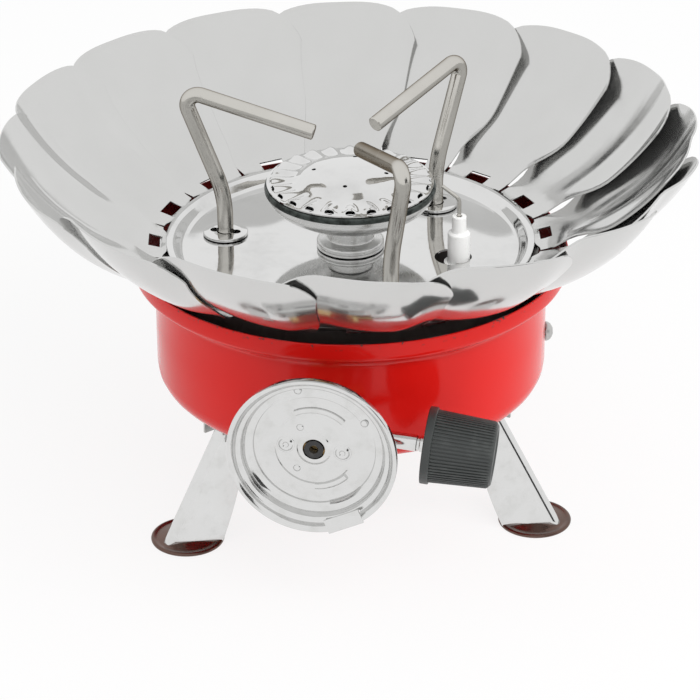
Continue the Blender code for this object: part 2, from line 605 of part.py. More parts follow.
def burner(group, cutters, steel, mirror, iron, brass):
    """Flanged neck, mixing tube, cup, port ring, cap, jet and jet block, all on the body's axis."""
    plate = PLATE_TOP_Z
    flange_z = plate + CLEARANCE
    bore = TUBE_RADIUS + CLEARANCE
    neck_top = plate + NECK_HEIGHT
    turned("burner_neck", [(NECK_RADIUS, neck_top), (NECK_RADIUS, plate + NECK_FLANGE_HEIGHT),
                           (NECK_FLANGE_RADIUS, plate + NECK_FLANGE_HEIGHT), (NECK_FLANGE_RADIUS, flange_z),
                           (bore, flange_z), (bore, neck_top)], mirror, group, SMALL_STEPS)
    block_top = JET_BLOCK_Z + JET_BLOCK_HEIGHT / 2
    tube_bottom = block_top + CLEARANCE
    cup_floor = neck_top + CLEARANCE
    tube_top = cup_floor + SHEET + CLEARANCE
    mixing = turned("mixing_tube", [(TUBE_RADIUS, tube_top), (TUBE_RADIUS, tube_bottom),
                                    (TUBE_RADIUS - TUBE_WALL, tube_bottom), (TUBE_RADIUS - TUBE_WALL, tube_top)],
                    steel, group, SMALL_STEPS)
    port_z = tube_bottom + AIR_PORT_RISE
    for number in range(AIR_PORT_COUNT):
        azimuth = 2 * pi * number / AIR_PORT_COUNT
        cut(mixing, cylinder_cutter(f"air_port_{number + 1}", AIR_PORT_RADIUS, radial(azimuth, 0.0, port_z),
                                    radial(azimuth, TUBE_RADIUS + OVERRUN, port_z), cutters))
    turned("jet_block", [(0.0, block_top), (JET_BLOCK_RADIUS, block_top),
                         (JET_BLOCK_RADIUS, block_top - JET_BLOCK_HEIGHT), (0.0, block_top - JET_BLOCK_HEIGHT)],
           brass, group, SMALL_STEPS, closed=False)
    hex_low = block_top + CLEARANCE
    hex_high = hex_low + JET_HEX_HEIGHT
    nose = hex_high + JET_NOSE_HEIGHT
    turned("gas_jet", [(0.0, nose), (JET_NOSE_RADIUS, nose), (JET_NOSE_RADIUS, hex_high), (JET_HEX_RADIUS, hex_high),
                       (JET_HEX_RADIUS, hex_low), (0.0, hex_low)], brass, group, PIN_STEPS, closed=False)
    cup_top = plate + CUP_HEIGHT
    cup_rise = cup_top - cup_floor
    outer = [(NECK_RADIUS + (CUP_RADIUS - NECK_RADIUS) * sin(pi / 2 * share) ** 1.1,
              cup_top - cup_rise * (1 - share) ** 0.9) for share in (1.0, 0.75, 0.5, 0.25, 0.0)]
    inner = [(radius - SHEET, height + SHEET * 0.6) for radius, height in reversed(outer[1:-1])]
    cup = outer + [(bore, cup_floor), (bore, cup_floor + SHEET), (NECK_RADIUS + SHEET, cup_floor + SHEET)] + inner
    cup.append((CUP_RADIUS - SHEET, cup_top))
    turned("burner_cup", cup, mirror, group, SMALL_STEPS)
    ring_low = cup_top + CLEARANCE
    ring_high = ring_low + PORT_RING_HEIGHT
    ring_inner = PORT_RING_RADIUS - PORT_RING_WIDTH
    turned("burner_ring", [(PORT_RING_RADIUS, ring_high), (PORT_RING_RADIUS, ring_low), (ring_inner, ring_low),
                           (ring_inner, ring_high)], iron, group, SMALL_STEPS)
    cap_low = ring_high + CLEARANCE
    seat = cap_low + CAP_SEAT_RISE
    dome = [(CAP_DOME_RADIUS * sin(pi / 2 * share), cap_low + CAP_DOME_RISE - (CAP_DOME_RISE - CAP_SEAT_RISE)
             * (1 - cos(pi / 2 * share)) ** 1.6) for share in (0.0, 0.35, 0.7, 1.0)]
    top = [(radius, height + CAP_SHEET) for radius, height in dome]
    cap = top + [(CAP_RADIUS, cap_low + CAP_SHEET), (CAP_RADIUS, cap_low)]
    cap += [(CAP_DOME_RADIUS, seat)] + list(reversed(dome[:-1]))
    turned("burner_cap", cap, mirror, group, SMALL_STEPS, closed=False)


def support_path():
    """Middle line of a pot support in the vertical plane through its base, +X outward."""
    top = Vector((ELBOW_LEAN, 0.0, ELBOW_HEIGHT))
    base = Vector((0.0, 0.0, -SUPPORT_TAIL))
    knee = Vector((0.0, 0.0, ROD_UPRIGHT))
    end = Vector((-ARM_REACH, 0.0, ELBOW_HEIGHT - ARM_DROP))
    path = [base]
    path += rounded_bend(knee, base, top, KNEE_BEND, 4)
    path += rounded_bend(top, knee, end, ELBOW_BEND, 5)
    path.append(end)
    return path


def pot_supports(group, steel, mirror):
    """Three bent rods that swivel in the plate, each between a washer and a retaining ring."""
    bore = ROD_RADIUS + CLEARANCE
    clip_top = -THIN_SHEET - CLEARANCE
    clip_low = clip_top - CLIP_HEIGHT
    for number, azimuth in enumerate(SUPPORT_AZIMUTHS, 1):
        place = about_z(azimuth, radial(azimuth, SUPPORT_BASE_RADIUS, PLATE_TOP_Z))
        tube(f"pot_support_{number}", support_path(), ROD_RADIUS, steel, group, placed=place)
        turned(f"support_washer_{number}", [(WASHER_RADIUS, WASHER_HEIGHT), (WASHER_RADIUS, CLEARANCE),
                                            (bore, CLEARANCE), (bore, WASHER_HEIGHT)],
               mirror, group, SMALL_STEPS, placed=place)
        turned(f"support_clip_{number}", [(CLIP_RADIUS, clip_top), (CLIP_RADIUS, clip_low), (bore, clip_low),
                                          (bore, clip_top)], steel, group, PIN_STEPS, placed=place)


def ignition(group, cutters, ceramic, steel, dark, rubber):
    """Spark electrode through the plate, its fork, the lead, the piezo unit and its button."""
    here = Vector((ELECTRODE_X, ELECTRODE_Y, PLATE_TOP_Z))
    place = Matrix.Translation(here)
    fork_top = -THIN_SHEET - CLEARANCE
    shoulder = fork_top - SHEET - CLEARANCE
    shoulder_low = shoulder - CERAMIC_SHOULDER_HEIGHT
    turned("electrode_ceramic", [(CERAMIC_BORE, CERAMIC_TOP_HEIGHT), (CERAMIC_TOP_RADIUS, CERAMIC_TOP_HEIGHT),
                                 (CERAMIC_TOP_RADIUS, CERAMIC_HEIGHT), (CERAMIC_RADIUS, CERAMIC_HEIGHT),
                                 (CERAMIC_RADIUS, shoulder), (CERAMIC_SHOULDER_RADIUS, shoulder),
                                 (CERAMIC_SHOULDER_RADIUS, shoulder_low), (CERAMIC_RADIUS, shoulder_low),
                                 (CERAMIC_RADIUS, -CERAMIC_TAIL), (CERAMIC_BORE, -CERAMIC_TAIL)],
           ceramic, group, PIN_STEPS, placed=place)
    foot = here + Vector((0.0, 0.0, -CERAMIC_TAIL))
    bend_at = here + Vector((0.0, 0.0, CERAMIC_TOP_HEIGHT + SPARK_WIRE_RISE))
    tip = bend_at - radial(atan2(ELECTRODE_Y, ELECTRODE_X), SPARK_WIRE_REACH)
    tip.z += SPARK_WIRE_REACH * SPARK_WIRE_SLOPE
    bend = rounded_bend(bend_at, here, tip, SPARK_WIRE_REACH / 2, 3)
    tube("electrode_wire", [foot] + bend + [tip], SPARK_WIRE_RADIUS, steel, group, resolution=1)
    fork_place = about_z(atan2(ELECTRODE_Y, ELECTRODE_X), here + Vector((0.0, 0.0, fork_top - SHEET / 2)))
    fork_place = fork_place @ Matrix.Translation((FORK_LENGTH / 2, 0.0, 0.0))
    fork = add_object("electrode_fork", box_mesh("electrode_fork", (FORK_LENGTH, FORK_WIDTH, SHEET)), steel,
                      group, fork_place)
    cut(fork, cylinder_cutter("fork_hole", CERAMIC_RADIUS + CLEARANCE, here - Vector((0.0, 0.0, OVERRUN * 2)),
                              here, cutters))
    outer = DRUM_RADIUS - SHEET * 2
    inner = outer - PIEZO_LENGTH
    turn = Matrix.Rotation(pi / 2, 4, "Y")
    piezo_place = about_z(PIEZO_AZIMUTH, Vector((0.0, 0.0, PIEZO_Z))) @ turn
    pocket = outer - BUTTON_IN_POCKET - BUTTON_TRAVEL - CLEARANCE
    pocket_radius = BUTTON_RADIUS + CLEARANCE
    turned("piezo_unit", [(0.0, pocket), (pocket_radius, pocket), (pocket_radius, outer), (PIEZO_RADIUS, outer),
                          (PIEZO_RADIUS, inner), (0.0, inner)], dark, group, PIN_STEPS, closed=False,
           placed=piezo_place)
    button_out = BODY_RADIUS + BUTTON_STANDS
    place = about_z(PIEZO_AZIMUTH, radial(PIEZO_AZIMUTH, button_out, PIEZO_Z)) @ turn
    chamfer = CLEARANCE * 2
    stem_end = outer - BUTTON_IN_POCKET - button_out
    turned("igniter_button", [(0.0, 0.0), (BUTTON_RADIUS - chamfer, 0.0), (BUTTON_RADIUS, -chamfer),
                              (BUTTON_RADIUS, stem_end), (0.0, stem_end)],
           dark, group, PIN_STEPS, closed=False, placed=place)
    start = foot - Vector((0.0, 0.0, CLEARANCE))
    end = radial(PIEZO_AZIMUTH, inner - CLEARANCE, PIEZO_Z)
    lead = bezier(start, start - Vector((0.0, 0.0, CERAMIC_TAIL)), end - radial(PIEZO_AZIMUTH, CERAMIC_TAIL), end,
                  LEAD_STEPS)
    tube("spark_lead", lead, LEAD_RADIUS, rubber, group)


def bezier(first, leaves, arrives, last, steps):
    """Points along one cubic curve."""
    points = []
    for i in range(steps + 1):
        t = i / steps
        u = 1 - t
        points.append(first * u ** 3 + leaves * 3 * u * u * t + arrives * 3 * u * t * t + last * t ** 3)
    return points


def leg_mesh(name):
    """A folded sheet: a narrow ridge outward and two flanges that flare towards the foot."""
    top_z = LEG_PIVOT_Z + LEG_TOP_RISE
    bottom_z = FOOT_THICKNESS / 2
    inner_top = LEG_PIVOT_RADIUS - LEG_TOP_DEPTH / 2
    ridge_top = inner_top + LEG_TOP_DEPTH
    ridge_bottom = ridge_top + LEG_SPREAD
    inner_bottom = FOOT_CENTRE - FOOT_RADIUS * LEG_REACH_SHARE
    shape = bmesh.new()
    rows = []
    for share in LEG_FLARE_SHARES:
        height = top_z + (bottom_z - top_z) * share
        flare = share ** 2
        ridge = ridge_top + (ridge_bottom - ridge_top) * share
        inner = inner_top + (inner_bottom - inner_top) * flare
        width = (LEG_TOP_WIDTH + (LEG_BOTTOM_WIDTH - LEG_TOP_WIDTH) * flare) / 2
        points = [(inner, -width), (ridge, -LEG_RIDGE_WIDTH / 2), (ridge, LEG_RIDGE_WIDTH / 2), (inner, width)]
        rows.append([shape.verts.new((x, y, height)) for x, y in points])
    for upper, lower in zip(rows[:-1], rows[1:]):
        for i in range(3):
            shape.faces.new((upper[i], lower[i], lower[i + 1], upper[i + 1]))
    bmesh.ops.recalc_face_normals(shape, faces=shape.faces)
    mesh = bpy.data.meshes.new(name)
    shape.to_mesh(mesh)
    shape.free()
    mesh.transform(Matrix.Translation((-LEG_PIVOT_RADIUS, 0.0, -LEG_PIVOT_Z)))
    return mesh


def legs(group, cutters, steel, mirror):
    """Three folding legs, each pinned between the ears of a bracket under the body."""
    ear_gap = LEG_TOP_WIDTH / 2 + SHEET / 2 + CLEARANCE * 2
    base_z = BODY_BOTTOM_Z - CLEARANCE - SHEET / 2
    for number, azimuth in enumerate(LEG_AZIMUTHS, 1):
        pivot = about_z(azimuth, radial(azimuth, LEG_PIVOT_RADIUS, LEG_PIVOT_Z))
        leg = add_object(f"leg_{number}", leg_mesh(f"leg_{number}"), mirror, group, pivot)
        wall = leg.modifiers.new("Sheet", "SOLIDIFY")
        wall.thickness = SHEET
        wall.offset = 0.0
        foot_top = FOOT_THICKNESS
        foot = turned(f"foot_{number}", [(0.0, foot_top), (FOOT_RADIUS, foot_top), (FOOT_RADIUS, 0.0), (0.0, 0.0)],
                      None, cutters, SMALL_STEPS, closed=False,
                      placed=about_z(azimuth, radial(azimuth, FOOT_CENTRE)))
        cut(leg, make_cutter(foot), "UNION")
        side = Matrix.Rotation(azimuth, 3, "Z") @ Vector((0.0, 1.0, 0.0))
        centre = radial(azimuth, LEG_PIVOT_RADIUS, LEG_PIVOT_Z)
        reach = ear_gap + SHEET + OVERRUN
        hole = cylinder_cutter(f"leg_pin_hole_{number}", LEG_PIN_RADIUS + CLEARANCE, centre - side * reach,
                               centre + side * reach, cutters)
        cut(leg, hole)
        outline = [(-ear_gap - SHEET / 2, base_z - BRACKET_EAR), (-ear_gap - SHEET / 2, base_z),
                   (ear_gap + SHEET / 2, base_z), (ear_gap + SHEET / 2, base_z - BRACKET_EAR)]
        shape = bmesh.new()
        half = BRACKET_LENGTH / 2
        near = [shape.verts.new((-half, y, z - LEG_PIVOT_Z)) for y, z in outline]
        far = [shape.verts.new((half, y, z - LEG_PIVOT_Z)) for y, z in outline]
        for i in range(3):
            shape.faces.new((near[i], near[i + 1], far[i + 1], far[i]))
        mesh = bpy.data.meshes.new(f"leg_bracket_{number}")
        shape.to_mesh(mesh)
        shape.free()
        bracket = add_object(f"leg_bracket_{number}", mesh, steel, group, pivot)
        wall = bracket.modifiers.new("Sheet", "SOLIDIFY")
        wall.thickness = SHEET
        wall.offset = 0.0
        cut(bracket, hole)
        pin_reach = ear_gap + SHEET + CLEARANCE
        head = LEG_PIN_RADIUS * 1.7
        turned(f"leg_pin_{number}", [(0.0, pin_reach + SHEET), (head, pin_reach + SHEET), (head, pin_reach),
                                     (LEG_PIN_RADIUS, pin_reach), (LEG_PIN_RADIUS, -pin_reach), (head, -pin_reach),
                                     (head, -pin_reach - SHEET), (0.0, -pin_reach - SHEET)], steel, group,
               PIN_STEPS, closed=False, placed=pivot @ Matrix.Rotation(-pi / 2, 4, "X"))


def side_screws(group, steel):
    """Domed screws that join the body and the drum."""
    seat = BODY_RADIUS + CLEARANCE
    tail = DRUM_RADIUS - SHEET - SCREW_SHANK_PAST
    head = [(SCREW_HEAD_RADIUS * sin(pi / 2 * share), seat + SCREW_HEAD_HEIGHT * cos(pi / 2 * share))
            for share in (0.0, 0.4, 0.75)]
    profile = head + [(SCREW_HEAD_RADIUS, seat), (SCREW_SHANK_RADIUS, seat), (SCREW_SHANK_RADIUS, tail), (0.0, tail)]
    for number, azimuth in enumerate(SCREW_AZIMUTHS, 1):
        turned(f"side_screw_{number}", profile, steel, group, PIN_STEPS, closed=False,
               placed=about_z(azimuth, Vector((0.0, 0.0, SCREW_Z))) @ Matrix.Rotation(pi / 2, 4, "Y"))


def regulator(group, cutters, steel, mirror, brass, rubber, plastic):
    """Connector disc with its seal, valve body, stem, knob and the pipe to the jet."""
    frame = regulator_frame()
    facing = frame @ Matrix.Rotation(pi / 2, 4, "X")
    sheet = CONNECTOR_SHEET
    floor = -CONNECTOR_RECESS
    under = floor - sheet
    rim = CONNECTOR_RADIUS
    wall = CONNECTOR_WALL_RADIUS
    bore = CONNECTOR_BORE
    boss = CONNECTOR_BOSS_RADIUS
    step = CONNECTOR_STEP_RADIUS
    boss_top = floor + CONNECTOR_BOSS_RISE
    profile = [(rim - sheet, 0.0), (rim, -sheet), (rim, sheet - CONNECTOR_RIM), (rim - sheet, -CONNECTOR_RIM),
               (wall, -CONNECTOR_RIM), (wall, under), (step, under), (step - sheet, under + sheet / 2),
               (boss + sheet, under + sheet / 2), (boss, boss_top - sheet), (bore, boss_top - sheet),
               (bore, boss_top), (boss - sheet, boss_top), (boss, floor + sheet / 2),
               (step - sheet, floor + sheet / 2), (step, floor), (wall - sheet, floor), (wall - sheet, -sheet)]
    plate = turned("connector_plate", profile, mirror, group, DISC_STEPS, placed=facing)
    toward = frame @ Matrix.Rotation(-NOTCH_ANGLE, 4, "Y")
    past_rim = wall + NOTCH_DEPTH / 2
    notch = toward @ Matrix.Translation((past_rim, 0.0, 0.0))
    cut(plate, box_cutter("connector_notch", (NOTCH_DEPTH, CONNECTOR_RIM * 3, NOTCH_WIDTH), notch, cutters))
    tab = toward @ Matrix.Translation((TAB_OUT, CONNECTOR_RIM / 2, 0.0))
    cut(plate, box_cutter("connector_tab", (TAB_REACH, sheet, TAB_WIDTH), tab, cutters), "UNION")
    back_top = under - CLEARANCE
    back_low = back_top - BACK_DEPTH
    neck = VALVE_BOSS_RADIUS + CLEARANCE
    turned("connector_back", [(BACK_RADIUS, back_top), (BACK_RADIUS, back_top - sheet),
                              (VALVE_RADIUS + sheet * 3, back_low), (neck, back_low), (neck, back_low + sheet),
                              (VALVE_RADIUS + sheet * 2, back_low + sheet), (BACK_RADIUS - sheet * 3, back_top)],
           steel, group, DISC_STEPS, placed=facing)
    valve_front = boss_top - sheet - CLEARANCE
    tail = -STEM_BEHIND - STEM_RADIUS - VALVE_BACK
    body_top = back_low - CLEARANCE
    seat = bore - CLEARANCE
    seal_low = valve_front - SEAL_LENGTH / 2
    valve = turned("valve_body", [(0.0, seal_low), (bore, seal_low), (bore, valve_front),
                                  (VALVE_BOSS_RADIUS, valve_front), (VALVE_BOSS_RADIUS, body_top),
                                  (VALVE_RADIUS, body_top), (VALVE_RADIUS, tail), (VALVE_TAIL_RADIUS, tail),
                                  (VALVE_TAIL_RADIUS, -VALVE_TAIL_END), (0.0, -VALVE_TAIL_END)],
                   brass, group, SMALL_STEPS, closed=False, placed=facing)
    centre = frame @ Vector((0.0, STEM_BEHIND, 0.0))
    boss_end = frame @ Vector((VALVE_BOSS_REACH, STEM_BEHIND, 0.0))
    cut(valve, cylinder_cutter("valve_stem_boss", VALVE_BOSS_RADIUS, centre, boss_end, cutters), "UNION")
    stem_seat = frame @ Vector((STEM_START - CLEARANCE, STEM_BEHIND, 0.0))
    past_boss = frame @ Vector((VALVE_BOSS_REACH + OVERRUN, STEM_BEHIND, 0.0))
    cut(valve, cylinder_cutter("stem_bore", STEM_RADIUS + CLEARANCE, stem_seat, past_boss, cutters))
    seal_bottom = seal_low + CLEARANCE
    turned("nozzle_seal", [(seat, boss_top), (seat, seal_bottom), (SEAL_BORE, seal_bottom), (SEAL_BORE, boss_top)],
           rubber, group, PIN_STEPS, placed=facing)
    along = frame @ Matrix.Translation((0.0, STEM_BEHIND, 0.0)) @ Matrix.Rotation(pi / 2, 4, "Y")
    stem_end = KNOB_START + KNOB_SOCKET - CLEARANCE
    turned("valve_stem", [(0.0, stem_end), (STEM_RADIUS, stem_end), (STEM_RADIUS, STEM_START), (0.0, STEM_START)],
           steel, group, PIN_STEPS, closed=False, placed=along)
    end = KNOB_START + KNOB_LENGTH
    flange = KNOB_START + KNOB_FLANGE_LENGTH
    socket = STEM_RADIUS + CLEARANCE
    turned("control_knob", [(0.0, end), (KNOB_END_RADIUS - KNOB_END_FILLET, end),
                            (KNOB_END_RADIUS, end - KNOB_END_FILLET), (KNOB_RADIUS, flange),
                            (KNOB_FLANGE_RADIUS, flange), (KNOB_FLANGE_RADIUS, KNOB_START), (socket, KNOB_START),
                            (socket, KNOB_START + KNOB_SOCKET), (0.0, KNOB_START + KNOB_SOCKET)],
           plastic, group, SMALL_STEPS, closed=False, placed=along)
    start = frame @ Vector((0.0, VALVE_TAIL_END + CLEARANCE, 0.0))
    inward = frame.to_3x3() @ Vector((0.0, PIPE_HANDLE, 0.0))
    end = Vector((0.0, -JET_BLOCK_RADIUS - CLEARANCE, JET_BLOCK_Z))
    pipe = bezier(start, start + inward, end - Vector((0.0, PIPE_HANDLE, 0.0)), end, PIPE_STEPS)
    tube("gas_pipe", pipe, PIPE_RADIUS, brass, group)


def build():
    empty_scene()
    group = new_collection("gas_stove")
    cutters = new_collection("cutters")
    paint = finish("red_paint", (0.62, 0.02, 0.02), 0.0, 0.25)
    mirror = finish("polished_steel", (0.80, 0.80, 0.79), 1.0, 0.08)
    steel = finish("steel", (0.62, 0.62, 0.60), 1.0, 0.28)
    iron = finish("blackened_steel", (0.05, 0.06, 0.055), 0.8, 0.45)
    brass = finish("brass", (0.72, 0.55, 0.25), 1.0, 0.30)
    ceramic = finish("white_ceramic", (0.90, 0.89, 0.86), 0.0, 0.35)
    rubber = finish("black_rubber", (0.03, 0.03, 0.03), 0.0, 0.60)
    plastic = finish("charcoal_plastic", (0.035, 0.045, 0.045), 0.0, 0.45)
    body_shell(group, cutters, paint)
    hinge_drum(group, cutters, steel)
    top_plate(group, cutters, mirror)
    petals(group, mirror)
    burner(group, cutters, steel, mirror, iron, brass)
    pot_supports(group, steel, mirror)
    ignition(group, cutters, ceramic, steel, plastic, rubber)
    legs(group, cutters, steel, mirror)
    side_screws(group, steel)
    regulator(group, cutters, steel, mirror, brass, rubber, plastic)


build()
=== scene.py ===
# %% [markdown]
# # A folding camping stove, dressed for the camera
# The solids of the stove come packed as a frame, and each piece here rides on one of its bodies.
# A piece is either one of those solids with a better finish, or a finer shape that stands for it.
# All finer shapes are made in metres in the stove's own place: their objects stay at the origin, so that
# a pattern in a finish stays where it is when the piece is exported or moved by a joint.

from functools import partialmethod
from math import asin, atan2, cos, hypot, pi, radians, sin, sqrt, tan

import bmesh
import bpy
from mathutils import Matrix, Vector


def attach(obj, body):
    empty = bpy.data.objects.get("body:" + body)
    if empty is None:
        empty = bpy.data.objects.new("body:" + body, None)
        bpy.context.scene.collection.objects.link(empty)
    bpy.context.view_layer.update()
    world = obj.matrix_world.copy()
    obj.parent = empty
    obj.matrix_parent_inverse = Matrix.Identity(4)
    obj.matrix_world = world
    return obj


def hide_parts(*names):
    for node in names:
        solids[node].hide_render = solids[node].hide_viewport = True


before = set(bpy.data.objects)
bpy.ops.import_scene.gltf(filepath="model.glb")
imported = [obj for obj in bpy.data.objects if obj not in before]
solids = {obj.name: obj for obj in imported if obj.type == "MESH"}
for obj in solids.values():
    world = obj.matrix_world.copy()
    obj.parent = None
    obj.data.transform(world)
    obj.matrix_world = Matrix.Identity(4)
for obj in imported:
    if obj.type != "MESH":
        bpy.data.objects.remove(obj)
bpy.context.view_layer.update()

# %% [markdown]
# ## One way to add a node
# Finishes and rules for repeated shapes are both node trees. The small class Value wraps a socket, so a sum
# such as `1 - mask * 0.4` can be written as Python and adds its Math nodes. Every other node comes from
# one method, which takes what its sockets get and then its settings. That keeps a tree readable.

# %% Sums of sockets
class Value:
    """A socket that can be used in a sum."""

    def __init__(self, bench, socket):
        self.bench = bench
        self.socket = socket

    def maths(self, operation, *others, swapped=False):
        terms = [self, *others]
        if swapped:
            terms.reverse()
        return self.bench.node("ShaderNodeMath", dict(enumerate(terms)), operation=operation)

    __add__ = __radd__ = partialmethod(maths, "ADD")
    __sub__ = partialmethod(maths, "SUBTRACT")
    __rsub__ = partialmethod(maths, "SUBTRACT", swapped=True)
    __mul__ = __rmul__ = partialmethod(maths, "MULTIPLY")
    __truediv__ = partialmethod(maths, "DIVIDE")

    def beside(self, name):
        """Another output of the same node."""
        return Value(self.bench, self.socket.node.outputs[name])


# %% The bench on which trees are built
class Bench:
    """A node tree, and the one way in which nodes are added to it."""

    def __init__(self, tree):
        self.tree = tree

    def node(self, kind, sockets=None, out=0, **settings):
        made = self.tree.nodes.new(kind)
        for name, value in settings.items():
            setattr(made, name, value)
        for key, value in (sockets or {}).items():
            self.feed(made.inputs[key], value)
        return Value(self, made.outputs[out])

    def feed(self, socket, value):
        for item in value if isinstance(value, list) else [value]:
            if isinstance(item, Value):
                self.tree.links.new(item.socket, socket)
            elif socket.type == "RGBA":
                socket.default_value = (*item, 1.0)
            else:
                socket.default_value = item

    def between(self, value, low, high):
        """Eases from 0 to 1 while the value goes from low to high."""
        return self.node("ShaderNodeMapRange", {"Value": value, "From Min": low, "From Max": high},
                         interpolation_type="SMOOTHSTEP")

    def parts(self, vector):
        x = self.node("ShaderNodeSeparateXYZ", {0: vector})
        return x, x.beside("Y"), x.beside("Z")


# %% A finish: one material
class Finish(Bench):
    """A material on its Principled shader; made_at reads where the piece lay before it was put in place."""

    def __init__(self, name, colour, metallic, roughness, made_at=False, **fixed):
        self.material = bpy.data.materials.new(name)
        self.material.use_nodes = True
        super().__init__(self.material.node_tree)
        self.shader = self.tree.nodes["Principled BSDF"]
        self.set("Base Color", colour)
        self.set("Metallic", metallic)
        self.set("Roughness", roughness)
        for socket, value in fixed.items():
            self.set(socket.replace("_", " "), value)
        if made_at:
            self.here = self.node("ShaderNodeAttribute", out="Vector", attribute_name="made_at")
        else:
            self.here = self.node("ShaderNodeTexCoord", out="Object")

    def set(self, socket, value):
        self.feed(self.shader.inputs[socket], value)

    def cloud(self, scale, detail=3.0, roughness=0.5):
        """Noise, stretched if each axis has its own scale."""
        at = self.here
        if isinstance(scale, tuple):
            at, scale = self.node("ShaderNodeVectorMath", {0: at, 1: scale}, operation="MULTIPLY"), 1.0
        return self.node("ShaderNodeTexNoise", {"Vector": at, "Scale": scale, "Detail": detail,
                                                "Roughness": roughness})

    def blend(self, mask, first, second):
        return self.node("ShaderNodeMix", {0: mask, 6: first, 7: second}, out=2, data_type="RGBA")

    def look(self, mask, first, second, roughness):
        """The colour goes from the first to the second with the mask."""
        self.set("Base Color", self.blend(mask, first, second))
        self.set("Roughness", roughness)

    def bump(self, *layers):
        """Each layer is (height, strength, distance in metres); they are stacked."""
        normal = None
        for height, strength, distance in layers:
            sockets = {"Height": height, "Strength": strength, "Distance": distance}
            if normal is not None:
                sockets["Normal"] = normal
            normal = self.node("ShaderNodeBump", sockets)
        self.set("Normal", normal)


print("the bench is ready")

# %% [markdown]
# ## Red enamel
# The bowl is spun from steel sheet and sprayed with glossy red. Sprayed paint is never quite flat: it has a fine
# orange peel, it is a little deeper in places, handling leaves duller smears, and at the mouth, where the petals
# close on it, tiny chips show dark primer. Its inner wall is painted dark red: painted shade for the gap under the
# petals.

# %% Red paint
CHIPPED_BAND = (0.0815, 0.0838)
COLLAR_FROM, COLLAR_RISE, COLLAR_OUT = 0.0742, 0.0045, 0.0067
WALL_MIDDLE, INSIDE_FROM = 0.0621, 0.050
enamel = Finish("red_enamel", (0.74, 0.012, 0.008), 0.0, 0.16, Specular_IOR_Level=0.24)
depth = enamel.cloud(22.0, detail=4.0)
smears = enamel.between(enamel.cloud(75.0, detail=5.0, roughness=0.62), 0.50, 0.72)
x, y, z = enamel.parts(enamel.here)
near_mouth = enamel.between(z, *CHIPPED_BAND)
chips = enamel.between(enamel.cloud(640.0, detail=2.0), 0.63, 0.66) * near_mouth
shade = enamel.blend(depth, (0.77, 0.012, 0.008), (0.68, 0.009, 0.007))
widening = ((z - COLLAR_FROM) / COLLAR_RISE).maths("MAXIMUM", 0.0).maths("MINIMUM", 1.0)
wall = (x * x + y * y).maths("SQRT") - widening * COLLAR_OUT
# Painted shade: the inner wall above INSIDE_FROM turns dark red, standing for the shadow in the gap under the
# petals.
inside = wall.maths("LESS_THAN", WALL_MIDDLE) * z.maths("GREATER_THAN", INSIDE_FROM)
shade = enamel.blend(inside, shade, (0.17, 0.014, 0.012))
enamel.look(chips, shade, (0.06, 0.035, 0.03), 0.13 + smears * 0.12 + chips * 0.4)
enamel.bump((enamel.cloud(1100.0, detail=1.0), 0.10, 0.00004), (1 - chips, 0.5, 0.00006))
print("red enamel:", len(enamel.tree.nodes), "nodes")

# %% [markdown]
# ## Polished sheet
# Petals, plate, burner, connector and legs are stainless sheet. What tells polished steel from a perfect mirror
# is its slight waviness, so a broad weak bump bends the reflections. A finer grain runs along the direction of
# rolling, and finger smears make some of it duller. The petals carry their place on the bench as an attribute,
# so that the grain follows each of them.

# %% Polished petals
petal_steel = Finish("petal_steel", (0.74, 0.74, 0.73), 0.94, 0.13, made_at=True)
smudge = petal_steel.between(petal_steel.cloud(60.0, detail=5.0, roughness=0.6), 0.46, 0.70)
grain = petal_steel.cloud((60.0, 2600.0, 60.0), detail=2.0)
wave = petal_steel.cloud((22.0, 55.0, 22.0), detail=2.0)
stain = petal_steel.cloud(30.0, detail=3.0)
petal_steel.look(stain, (0.66, 0.66, 0.655), (0.59, 0.59, 0.58), 0.085 + smudge * 0.075 + grain * 0.04)
petal_steel.bump((wave, 0.5, 0.00045), (grain, 0.06, 0.00003))

# %% Mirror plate
plate_steel = Finish("plate_steel", (0.75, 0.75, 0.745), 1.0, 0.07)
haze = plate_steel.between(plate_steel.cloud(48.0, detail=6.0, roughness=0.65), 0.45, 0.75)
swell = plate_steel.cloud(34.0, detail=1.0)
x, y, z = plate_steel.parts(plate_steel.here)
reach = (x * x + y * y).maths("SQRT")
rings = (reach * 9000.0 + plate_steel.cloud(40.0) * 6.0).maths("SINE")
plate_steel.look(haze, (0.71, 0.71, 0.705), (0.63, 0.63, 0.625), 0.05 + haze * 0.09)
plate_steel.bump((swell, 0.35, 0.00022), (rings, 0.03, 0.00001))

# %% Pressed bright steel of the connector, the stem and the legs
pressed_steel = Finish("pressed_steel", (0.74, 0.74, 0.735), 1.0, 0.12, made_at=True)
wear = pressed_steel.between(pressed_steel.cloud(160.0, detail=5.0, roughness=0.62), 0.45, 0.72)
dents = pressed_steel.cloud(110.0, detail=2.0)
strokes = pressed_steel.cloud((260.0, 3200.0, 260.0))
scratch = pressed_steel.between(strokes, 0.62, 0.70)
pressed_steel.look(wear, (0.70, 0.70, 0.695), (0.65, 0.65, 0.64), 0.09 + wear * 0.05 + scratch * 0.1)
pressed_steel.bump((dents, 0.4, 0.00016), (scratch, 0.12, 0.00002))

# %% Satin steel of the burner's neck and cup, with turning marks
satin_steel = Finish("satin_steel", (0.74, 0.74, 0.73), 1.0, 0.27)
marks = satin_steel.cloud((150.0, 150.0, 2600.0))
satin_steel.look(marks, (0.78, 0.78, 0.775), (0.68, 0.68, 0.67), 0.22 + marks * 0.12)
satin_steel.bump((marks, 0.15, 0.00003))
print("three polished steels and a satin one")
